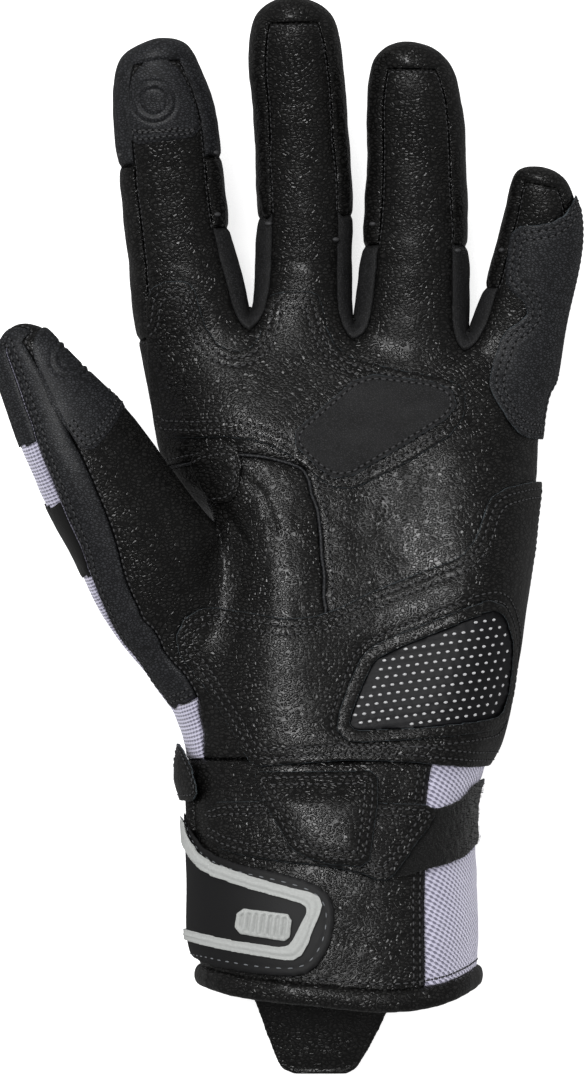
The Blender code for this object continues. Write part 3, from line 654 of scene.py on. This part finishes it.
def row_beside(line, offset, surface):
    """Lines drawn at one distance to the left of a line, along a surface."""
    line = resampled(line)
    tree = kdtree.KDTree(len(line))
    for number, point in enumerate(line.tolist()):
        tree.insert(point, number)
    tree.balance()
    runs = [[]]
    last = len(line) - 1
    closed = np.linalg.norm(line[0] - line[-1]) < CLOSED_WITHIN
    for number in range(len(line)):
        if closed:
            tangent = line[(number + 3) % last] - line[(number - 3) % last]
        else:
            tangent = line[min(number + 3, last)] - line[max(number - 3, 0)]
        normal = skin_at(line[number])[1]
        side = normal.cross(Vector(tangent)).normalized()
        target = Vector(line[number]) + side * offset
        normal = skin_at(target)[1]
        near = tree.find(target)[2]
        spot = top_at(surface, target, normal)
        if spot is not None and near > 0.9 * abs(offset):
            runs[-1].append(spot)
        elif runs[-1]:
            runs.append([])
    if closed and len(runs) > 1 and runs[0] and runs[-1]:
        runs[0] = runs.pop() + runs[0]
    elif closed and len(runs) == 1 and runs[0]:
        runs[0].append(runs[0][0])
    return [np.array(run) for run in runs if len(run) > 6]


STITCH = 1.9 * MM
THREAD = 0.5 * MM


def small_shape(operator, **settings):
    """The points and faces of one small shape, made once and then repeated. They are put in
    a fixed order, because an operator may list them differently from run to run."""
    work = bmesh.new()
    operator(work, **settings)
    work.verts.index_update()
    points = np.array([vert.co for vert in work.verts]).round(5)
    order = np.lexsort(points.round(3).T)
    rank = np.argsort(order).tolist()
    faces = []
    for face in work.faces:
        loop = [rank[vert.index] for vert in face.verts]
        first = loop.index(min(loop))
        faces.append(loop[first:] + loop[:first])
    work.free()
    return points[order], sorted(faces)


def placed(spot, across, side, up, size):
    """The three directions of a repeated shape, scaled, and its place."""
    return np.array([across * size[0], side * size[1], up * size[2], spot])


def repeated(name, groups):
    """One mesh of many copies of small shapes: groups of a shape, its places and its material.
    A mirrored place gets its faces turned round, so that they still point outwards."""
    points = []
    faces = []
    kinds = []
    start = 0
    for (shape, shape_faces), places, kind in groups:
        for place in places:
            points.append(shape @ place[:3] + place[3])
            step = -1 if np.linalg.det(place[:3]) < 0 else 1
            faces += [[start + number for number in face[::step]] for face in shape_faces]
            kinds += [kind] * len(shape_faces)
            start += len(shape)
    mesh = bpy.data.meshes.new(name)
    mesh.from_pydata(np.concatenate(points).tolist(), [], faces)
    mesh.polygons.foreach_set("material_index", kinds)
    mesh.polygons.foreach_set("use_smooth", np.ones(len(kinds), bool))
    made = bpy.data.objects.new(name, mesh)
    bpy.context.scene.collection.objects.link(made)
    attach(made, "root")
    return made


BLACK_THREAD = 0
# Painted shade: dark discs laid on the leather where the needle holes and vent holes are, in place of
# holes.
HOLE_SHADE = 1
GREY_THREAD = 2
HOLE_LIFT = 0.06 * MM
bars = {BLACK_THREAD: [], GREY_THREAD: []}
# The places of the dark discs of painted shade at the holes.
holes = []


def sew(line, surface, pitch=STITCH, width=THREAD, share=0.66, kind=BLACK_THREAD):
    """A row of stitches along a line: a short rounded bar of thread each, between needle holes drawn as
    dark discs of painted shade.
    """
    stops = resampled(line, pitch)
    for before, after in zip(stops, stops[1:]):
        middle = Vector((before + after) / 2)
        up = skin_at(middle)[1]
        spot = top_at(surface, middle, up)
        along = Vector(after - before)
        if spot is None or along.length < 0.4 * pitch:
            continue
        side = up.cross(along).normalized()
        along = side.cross(up)
        size = (width * 0.36, width / 2, pitch * share / 2)
        bars[kind].append(placed(spot + up * width * 0.16, up, side, along, size))
        spot = top_at(surface, before, up)
        if spot is not None and kind == BLACK_THREAD:
            size = (width * 0.62, width * 0.62, 1.0)
            holes.append(placed(spot + up * HOLE_LIFT, along, side, up, size))


def plain(name, colour, roughness, scale=2500.0, depth=0.05, **settings):
    """A matt finish with a fine uneven grain."""
    made, tree, shader = new_finish(name, roughness, **settings)
    place = add(tree, "TexCoord").outputs["Object"]
    grain = add(tree, "TexNoise", {"Vector": place, "Scale": scale, "Detail": 3.0, "Roughness": 0.6})
    bump = add(tree, "Bump", {"Height": grain.outputs["Fac"], "Strength": 0.6, "Distance": depth * MM})
    tree.links.new(bump.outputs[0], shader.inputs["Normal"])
    dark = tuple(value * 0.7 for value in colour)
    tone = add(
        tree, "Mix", {"Factor": grain.outputs["Fac"], "A": (*dark, 1.0), "B": (*colour, 1.0)},
        data_type="RGBA")
    tree.links.new(tone.outputs["Result"], shader.inputs["Base Color"])
    return made


cut_edge = plain("raw_leather_edge", (0.045, 0.055, 0.062), 0.75)
thread = plain("black_thread", (0.045, 0.045, 0.047), 0.5, 5000.0)
# Painted shade: a near-black finish for the discs that stand for the shadow inside needle holes and vent
# holes.
needle_hole = plain("needle_hole", (0.002, 0.002, 0.002), 1.0)


def sewn(lines, surface, *offsets):
    """Rows of stitches inside an outline, at these distances in mm."""
    for line in lines:
        for offset in offsets:
            for run in row_beside(line, offset * MM, surface):
                sew(run, surface)


piece, palm_lines, palm_surface = laid_over(
    "upper_palm_overlay", "palm_reinforcement", black_leather, cut_edge, 0.42)
sewn(palm_lines, palm_surface, 2.0, 4.2)

# The diamond pad: a matt patch let into the middle of the palm reinforcement, stitched
# close to its edge.
piece, lines, surface = laid_over(
    "palm_diamond_patch", "palm_diamond", suede, cut_edge, 0.38, 0.3, (1.1,), hem=0.25)
sewn(lines, surface, 1.1)

# The heel reinforcement: a padded second layer over the heel of the hand, open in a
# window over the slider, with two rows of stitches.
piece, heel_lines, heel_surface = laid_over(
    "heel_overlay", "heel_reinforcement", black_leather, cut_edge, 0.45, 0.7)
sewn(heel_lines, heel_surface, 2.0, 4.2)

# The slider: a stiff dark weave under the heel of the hand, with staggered rows of small
# silvery studs, held by a thin rolled leather lip.
SLIDER_TILT = math.radians(8)
STUD_STEP = 2.36
STUD_ROWS = 2.15
STUD_MARGIN = 0.9 * MM
STUD_SIZE = (0.36 * MM, 0.56 * MM, 0.30 * MM)
STUD_WAY = Vector((math.cos(SLIDER_TILT), math.sin(SLIDER_TILT), 0.0))


def woven(feet, inset):
    """The low waves of the weave, along and across its rows."""
    turned = feet[:, 0] * math.cos(SLIDER_TILT) + feet[:, 1] * math.sin(SLIDER_TILT)
    crossed = feet[:, 1] * math.cos(SLIDER_TILT) - feet[:, 0] * math.sin(SLIDER_TILT)
    rows = 0.10 * np.sin(2 * math.pi * crossed / STUD_ROWS)
    return rows + 0.05 * np.sin(2 * math.pi * turned / STUD_STEP)


slider_weave = plain("slider_weave", (0.006, 0.006, 0.007), 0.6, 1500.0, 0.15)
piece, lines, surface = laid_over(
    "heel_slider", "slider_insert", slider_weave, slider_weave, 0.4, 0.6, (), woven)
low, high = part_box("heel_slider")
outline = max(lines, key=len)
studs = []
border = kdtree.KDTree(len(outline))
for number, point in enumerate(outline.tolist()):
    border.insert((point[0], point[1], 0.0), number)
border.balance()
middle = (low + high) / 2
for row in range(-16, 17):
    for step in range(-16, 17):
        across = (step + 0.5 * (row % 2)) * STUD_STEP * MM
        up = row * STUD_ROWS * MM
        x = middle.x + across * math.cos(SLIDER_TILT) - up * math.sin(SLIDER_TILT)
        y = middle.y + up * math.cos(SLIDER_TILT) + across * math.sin(SLIDER_TILT)
        spot, normal = from_above(surface, x, y)
        if spot is None or normal.z < 0.15 or border.find((x, y, 0.0))[2] < STUD_MARGIN:
            continue
        up_way = skin_at(spot)[1]
        side = STUD_WAY.cross(up_way).cross(-up_way).normalized()
        studs.append(placed(spot + up_way * 0.10 * MM, up_way.cross(side), side, up_way, STUD_SIZE))
stud = small_shape(bmesh.ops.create_icosphere, subdivisions=2, radius=1.0)
made = repeated("slider_studs", ((stud, studs, 0),))
made.data.materials.append(plain("silver_stud", (0.50, 0.50, 0.51), 0.25, 3000.0, 0.02))
laid_over(
    "slider_frame", "slider_lip", black_leather, cut_edge, 0.32, 0.25, ())

# The cover down the little finger: smooth charcoal leather over the outer side, its edge
# cut raw, with two rows of stitches.
piece, lines, surface = laid_over(
    "little_finger_overlay", "little_finger_cover", charcoal_leather, cut_edge,
    0.42, 0.25)
sewn(lines, surface, 1.8, 3.8)

# The touch tips: thin smooth leather on the index finger and the thumb, with a plain double
# ring pressed in, and two rows of stitches across the open end.
TOUCH_TIPS = (
    ("index_touch_tip", "index_touch_pad", (-35.5, 113.4), (0.0, -1.0, 0.0), -106.3),
    ("thumb_touch_tip", "thumb_touch_pad", (-57.1, 46.5), (0.74, -0.67, 0.0), -62),
)
RING_LINES = (5.3, 3.3)
RING_CREST = 4.3
for node, name, ring, toward_hand, sewn_past in TOUCH_TIPS:
    def pressed(feet, inset):
        """Two pressed circles with a raised ring between them."""
        far = np.hypot(feet[:, 0] - ring[0], feet[:, 1] - ring[1])
        relief = 0.25 * np.exp(-((far - RING_CREST) / 0.5) ** 2)
        for radius in RING_LINES:
            relief = relief - 0.38 * np.exp(-((far - radius) / 0.35) ** 2)
        return relief

    piece, lines, surface = laid_over(
        node, name, charcoal_leather, charcoal_leather, 0.3, 0.2, (), pressed,
        hem=0.3)
    for line in lines:
        for offset in (1.2, 2.9):
            for run in row_beside(line, offset * MM, surface):
                open_end = run @ np.array(toward_hand) > sewn_past * MM
                if open_end.sum() > 4:
                    sew(run[open_end], surface, 1.6 * MM)

# The patch in the crotch of the thumb: a small cap of leather, cut raw and stitched round.
piece, lines, surface = laid_over(
    "thumb_crotch_patch", "thumb_crotch_cover", black_leather, black_leather,
    0.38, 0.15, (1.5,))
sewn(lines, surface, 1.5)

# The stitched seams of the shell: a close row beside each finger seam, two rows down the
# outer edge of the thumb, and two rows beside the seam of the cuff.
FINGER_SIDES = (
    "index_tip_band", "index_sidewall_outer", "index_sidewall_inner", "middle_sidewall",
    "ring_sidewall", "little_sidewall",
)
for side_panel in FINGER_SIDES:
    for line in seam_lines("palm_panel", side_panel):
        for run in row_beside(eased(resampled(line), 6), 0.8 * MM, dressed_skin):
            sew(run, dressed_skin, 1.5 * MM, 0.36 * MM)
for line in seam_lines("thumb_panel", "thumb_sidewall"):
    for run in row_beside(eased(resampled(line), 6), 0.5 * MM, dressed_skin):
        sew(run, dressed_skin, 1.7 * MM, 0.55 * MM)
for line in seam_lines("thumb_sidewall", "thumb_back"):
    line = eased(resampled(line), 6)
    for offset in (1.6, 3.4):
        for run in row_beside(line, offset * MM, dressed_skin):
            sew(run, dressed_skin)
for line in seam_lines("cuff_front", "cuff_mesh"):
    for offset in (1.6, 3.4):
        for run in row_beside(eased(resampled(line), 6), offset * MM, dressed_skin):
            sew(run, dressed_skin)

# The vent holes punched through the leather on the fronts of the fingers, drawn as dark discs of painted
# shade, and the small nubs of doubled leather that stand out where a finger seam ends.
VENTS = (
    (-31.1, 83.7), (-2.2, 114.9), (-0.9, 99.1), (1.7, 81.9),
    (27.7, 114.1), (27.2, 99.1), (27.2, 81.6),
)
for x, y in VENTS:
    spot, normal = from_above(dressed_skin, x * MM, y * MM)
    side = normal.orthogonal().normalized()
    size = (0.5 * MM, 0.5 * MM, 1.0)
    holes.append(placed(spot + normal * HOLE_LIFT, side, normal.cross(side), normal, size))

SEAM_ENDS = (
    (-44.9, 99.6), (-18.3, 100.1), (-16.8, 84.2), (-8.7, 81.6),
    (15.7, 77.2), (18.3, 81.6), (45.6, 74.6), (53.7, 75.1),
)
for x, y in SEAM_ENDS:
    spot, normal, number, reach = dressed_skin.find_nearest(Vector((x * MM, y * MM, 0.028)))
    side = normal.cross(Vector((0, 1, 0))).normalized()
    size = (0.8 * MM, 1.2 * MM, 0.6 * MM)
    bars[BLACK_THREAD].append(placed(spot, normal, side, side.cross(normal), size))


# The welt round the ball of the thumb: a narrow folded strip of leather let into the seam
# between the palm and the thumb, with a row of stitches beside it.
def corded(name, lines, width, height, finish):
    """A narrow raised strip of leather along lines of the shell."""
    work = bmesh.new()
    for line in lines:
        line = resampled(eased(resampled(line), 6), 1.2 * MM)
        before = None
        for number in range(len(line)):
            ahead = line[min(number + 1, len(line) - 1)] - line[max(number - 1, 0)]
            spot, up = skin_at(line[number])
            side = up.cross(Vector(ahead)).normalized()
            turn = Matrix((side, up, side.cross(up))).transposed().to_4x4()
            turn.translation = spot
            size = Matrix.Diagonal((width * MM / 2, height * MM, 1.0, 1.0))
            ring = bmesh.ops.create_circle(work, segments=8, radius=1.0, matrix=turn @ size)["verts"]
            edges = list(dict.fromkeys(edge for vert in ring for edge in vert.link_edges))
            if before:
                bmesh.ops.bridge_loops(work, edges=before + edges)
            else:
                bmesh.ops.edgeloop_fill(work, edges=edges)
            before = edges
        bmesh.ops.edgeloop_fill(work, edges=before)
    bmesh.ops.recalc_face_normals(work, faces=work.faces)
    mesh = bpy.data.meshes.new(name)
    work.to_mesh(mesh)
    work.free()
    made = bpy.data.objects.new(name, mesh)
    bpy.context.scene.collection.objects.link(made)
    mesh.materials.append(finish)
    mesh.polygons.foreach_set("use_smooth", np.ones(len(mesh.polygons), bool))
    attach(made, "root")
    return made


thenar = seam_lines("palm_panel", "thumb_panel")
corded("thumb_ball_welt", thenar, 0.9, 0.45, charcoal_leather)
for line in thenar:
    for run in row_beside(eased(resampled(line), 6), 2.2 * MM, dressed_skin):
        sew(run, dressed_skin)

# Two covers sewn flat over the mesh at the back of the thumb: a band of short black velour
# near its root, and smooth charcoal leather drawn round from the side over its tip.
velour = plain("black_velour", (0.007, 0.007, 0.007), 0.95, 2400.0, 0.3, Sheen_Weight=0.03)
THUMB_COVERS = (
    ("thumb_velour", 24, 45, velour, "black_cloth"),
    ("thumb_tip_cover", 62, 120, charcoal_leather, "smooth_leather"),
)
thumb_way = (THUMB_END - THUMB_ROOT).normalized()
along_thumb = (skin_points[quads].mean(axis=1) - np.array(THUMB_ROOT)) @ np.array(thumb_way)
on_thumb_back = part_of == panel_names.index("thumb_back")
for name, start, end, finish, slot in THUMB_COVERS:
    kept = quads[on_thumb_back & (along_thumb > start * MM) & (along_thumb < end * MM)]
    used, numbers = np.unique(kept, return_inverse=True)
    lifted = dressed_points[used] + skin_normals[used] * 0.5 * MM
    mesh = bpy.data.meshes.new(name)
    mesh.from_pydata(lifted.tolist(), [], numbers.reshape(-1, 4).tolist())
    mesh.polygons.foreach_set("use_smooth", np.ones(len(kept), bool))
    mesh.materials.append(finish)
    made = bpy.data.objects.new(name, mesh)
    bpy.context.scene.collection.objects.link(made)
    wall = made.modifiers.new("wall", "SOLIDIFY")
    wall.thickness = 0.7 * MM
    wall.offset = -1.0
    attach(made, "root")

# The fuzzy half of the closure: a loop-pile patch round the little-finger side of the wrist.
# Short bent loops of yarn stand out of it and fray past its edges.
pile = plain("loop_pile", (0.006, 0.006, 0.006), 0.9, 1100.0, 0.5, Sheen_Weight=0.15)


def piled(feet, inset):
    """The uneven height of the worn pile."""
    broad = np.array([noise.noise(Vector(foot) * 1.1) for foot in feet.tolist()])
    return 0.45 * broad + 0.2 * np.array([noise.noise(Vector(foot) * 2.7) for foot in feet.tolist()])


piece, lines, surface = laid_over(
    "hook_loop_patch", "loop_patch", pile, pile, 0.42, 0.2, (), piled)
low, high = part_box("hook_loop_patch")
noise.seed_set(1)    # without a seed, noise vectors differ from run to run
YARN_LOOPS = 2600
yarn = []
for number in range(YARN_LOOPS):
    seed = Vector((number * 0.731, number * 0.377, 5.1))
    u = (number * 0.754877666) % 1.0
    v = (number * 0.569840291) % 1.0
    x = low.x + (high.x - low.x) * u
    y = low.y + (high.y - low.y) * v
    spot, normal = from_above(surface, x, y)
    if spot is None:
        continue
    up = skin_at(spot)[1]
    lean = noise.noise_vector(seed) * 1.4
    side = up.cross(lean).normalized()
    along = side.cross(up)
    reach = 0.30 + 0.30 * abs(lean.x)
    yarn.append(placed(spot + up * 0.1 * MM, along, up, side, (0.45 * MM, reach * MM, 0.45 * MM)))


YARN_SIDES = 7


def yarn_loop(work):
    """A small bent ribbon of yarn, standing."""
    turns = [2 * math.pi * number / YARN_SIDES for number in range(YARN_SIDES)]
    near = [work.verts.new((-math.sin(turn), math.cos(turn), 0.0)) for turn in turns]
    far = [work.verts.new(vert.co + Vector((0.0, 0.1, 0.3))) for vert in near]
    for number in range(YARN_SIDES):
        after = (number + 1) % YARN_SIDES
        work.faces.new((near[number], near[after], far[after], far[number]))


made = repeated("pile_loops", ((small_shape(yarn_loop), yarn, 0),))
made.data.materials.append(pile)

# The wrist closure: a leather strap across the wrist, the flap that holds it down, and the
# loop that it runs through on the thumb side. All are cut raw and stitched in two rows.
piece, lines, surface = laid_over(
    "wrist_strap", "wrist_strap_band", black_leather, cut_edge, 0.42, 0.35,
    (1.5, 3.3), raised=0.25)
sewn(lines, surface, 1.5, 3.3)
piece, lines, surface = laid_over(
    "wrist_flap", "wrist_flap_cover", black_leather, cut_edge, 0.42, 0.9,
    (1.7, 3.7), raised=0.8, calm=40)
sewn(lines, surface, 1.7, 3.7)
piece, lines, surface = laid_over(
    "strap_loop", "strap_loop_band", black_leather, cut_edge, 0.42, 0.2, (1.5,))
sewn(lines, surface, 1.5)
tail = np.array([(*(-29.5, -60.1), 24.0), (*(-27.9, -67.9), 23.0), (*(-26.9, -76.2), 22.0)]) * MM
corded("strap_loop_tail", [tail], 7.0, 1.9, black_leather)

# The cuff strap: a coated textile tab, matt black, with a row of grey stitches inside its
# edge. A pale moulded trim with a fine groove, and a ribbed pale badge, are bonded on it.
strap_face = plain("matt_strap", (0.0075, 0.0075, 0.008), 0.62, 2200.0, 0.06)
piece, lines, strap_surface = laid_over(
    "cuff_strap", "cuff_strap_band", strap_face, strap_face, 0.45, 0.1, (2.0,), hem=0.3)
for line in lines:
    for run in row_beside(line, 2.0 * MM, strap_surface):
        sew(run, strap_surface, 3.1 * MM, 0.36 * MM, 0.45, GREY_THREAD)
pale_trim = plain("pale_trim", (0.40, 0.41, 0.40), 0.5, 1500.0, 0.03)


def grooved(feet, inset):
    """The fine groove along the border of the trim."""
    return -0.45 * np.exp(-((inset - 0.95) / 0.24) ** 2)


laid_over(
    "strap_frame", "strap_trim", pale_trim, pale_trim, 0.24, 0.0, (), grooved,
    hem=0.3, calm=7)


def ribbed(feet, inset):
    """Upright ribs inside a plain border."""
    along = feet[:, 0] * 0.99 - feet[:, 1] * 0.11
    return np.where(inset > 0.9, 0.45 * np.sin(2 * math.pi * along / 1.7), 0.2)


laid_over(
    "strap_badge", "strap_ribs", pale_trim, pale_trim, 0.24, 0.1, (), ribbed, hem=0.2)

# The bound edge of the cuff: a strip of leather rolled over a soft core, sewn on with one
# row of stitches above it, and the pull tab that is sewn in under it.
for node, name, inflate in (("cuff_binding", "cuff_edge_roll", 0.6), ("pull_tab", "pull_tab_pad", 0.0)):
    work = merged_copy(node)
    mesh = bpy.data.meshes.new(name)
    work.to_mesh(mesh)
    work.free()
    made = bpy.data.objects.new(name, mesh)
    bpy.context.scene.collection.objects.link(made)
    mesh = baked(
        made, ("REMESH", {"mode": "VOXEL", "voxel_size": 0.5 * MM}),
        ("SMOOTH", {"iterations": 8, "factor": 0.5}))
    points = points_of(mesh)
    normals = normals_of(mesh)
    if node == "pull_tab":
        rim = points[np.abs(normals[:, 2]) < 0.5]
        tree = kdtree.KDTree(len(rim))
        for number, point in enumerate(rim.tolist()):
            tree.insert(point, number)
        tree.balance()
        inset = np.array([tree.find(point)[2] for point in points.tolist()]) / MM
        fullness = 1 - np.exp(-(np.maximum(inset - 1.6, 0) / 2.6) ** 2)
        flat_side = np.sign(normals[:, 2]) * (np.abs(normals[:, 2]) > 0.5)
        points[:, 2] += flat_side * (1.3 * fullness - 0.25 * np.exp(-((inset - 1.5) / 0.5) ** 2)) * MM
    else:
        points += normals * inflate * MM
        points[:, 1] += 0.4 * MM
        ripple = np.array([noise.noise(Vector(point) * 260) for point in points.tolist()])
        points += normals * (0.12 * ripple * MM)[:, None]
    mesh.vertices.foreach_set("co", points.astype(np.float32).reshape(-1))
    mesh.materials.clear()
    mesh.materials.append(black_leather)
    mesh.polygons.foreach_set("use_smooth", np.ones(len(mesh.polygons), bool))
    mesh.update()
    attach(made, "root")
    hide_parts(node)
for panel in ("cuff_front", "cuff_mesh", "cuff_back"):
    one = panel_names.index(panel)
    follow = {a: b for (a, b), part in beside.items() if part == one and (b, a) not in beside}
    heads = [a for a in follow if a not in set(follow.values())] or [next(iter(follow))]
    for head in heads:
        line = [head]
        while line[-1] in follow:
            line.append(follow.pop(line[-1]))
        for run in row_beside(eased(resampled(skin_points[line]), 4), 1.6 * MM, dressed_skin):
            sew(run, dressed_skin, 2.2 * MM, 0.5 * MM)

# All the thread of the glove in one piece: black stitches, the needle holes and vent holes as dark discs
# of painted shade, and the grey stitches of the cuff strap.
bar = small_shape(bmesh.ops.create_uvsphere, u_segments=6, v_segments=5, radius=1.0)
# Painted shade: a flat dark disc, laid at each hole in place of the hole's shadow.
hole = small_shape(bmesh.ops.create_circle, cap_ends=True, segments=8, radius=1.0)
made = repeated("stitches", (
    (bar, bars[BLACK_THREAD], BLACK_THREAD),
    (hole, holes, HOLE_SHADE),
    (bar, bars[GREY_THREAD], GREY_THREAD),
))
made.data.materials.append(thread)
made.data.materials.append(needle_hole)
made.data.materials.append(plain("grey_thread", (0.16, 0.17, 0.18), 0.6, 5000.0))

# The pale floor, the soft lights and the camera straight above the palm.
floor_mesh = bmesh.new()
below = Matrix.Translation((0, 0, cad_box[0][2] - 0.5 * MM))
bmesh.ops.create_grid(floor_mesh, x_segments=1, y_segments=1, size=3.0, matrix=below)
mesh = bpy.data.meshes.new("floor")
floor_mesh.to_mesh(mesh)
floor_mesh.free()
floor = bpy.data.objects.new("floor", mesh)
bpy.context.scene.collection.objects.link(floor)
floor_finish = plain("pale_floor", (0.86, 0.86, 0.86), 0.9)
floor_shader = floor_finish.node_tree.nodes["Principled BSDF"]
floor_shader.inputs["Emission Color"].default_value = (1.0, 1.0, 1.0, 1.0)
floor_shader.inputs["Emission Strength"].default_value = 0.75
mesh.materials.append(floor_finish)
floor.visible_glossy = False

LIGHTS = (
    ("softbox_above", (-0.75, 0.80, 3.2), 0.6, 1.9, 50),
    ("softbox_left", (-2.4, 0.5, 2.0), 1.6, 2.4, 60),
    ("softbox_right", (2.4, 0.1, 2.0), 1.6, 2.4, 50),
    ("softbox_top", (0.0, 2.6, 1.9), 2.4, 1.4, 40),
)
for name, spot, width, length, power in LIGHTS:
    light = bpy.data.lights.new(name, "AREA")
    light.shape = "RECTANGLE"
    light.size = width
    light.size_y = length
    light.energy = power
    lamp = bpy.data.objects.new(name, light)
    lamp.location = spot
    lamp.rotation_euler = (-Vector(spot)).to_track_quat("-Z", "Y").to_euler()
    lamp.visible_glossy = name == "softbox_above"
    bpy.context.scene.collection.objects.link(lamp)
world = bpy.data.worlds.new("soft_room")
world.use_nodes = True
world.node_tree.nodes["Background"].inputs["Color"].default_value = (1.0, 1.0, 1.0, 1.0)
world.node_tree.nodes["Background"].inputs["Strength"].default_value = 0.12
bpy.context.scene.world = world

CAMERA_HEIGHT = 3.0
FRAME_HEIGHT = 280.8 * MM
FOCUS_PLANE = 25 * MM
bpy.context.scene.view_settings.view_transform = "Standard"
camera = bpy.data.objects.new("camera", bpy.data.cameras.new("camera"))
camera.data.sensor_fit = "VERTICAL"
camera.data.sensor_height = 24.0
camera.data.lens = 24.0 * (CAMERA_HEIGHT - FOCUS_PLANE) / FRAME_HEIGHT
camera.data.clip_start = 0.1
camera.data.clip_end = 20.0
camera.location = (0.26 * MM, -0.26 * MM, CAMERA_HEIGHT)
bpy.context.scene.collection.objects.link(camera)
bpy.context.scene.camera = camera
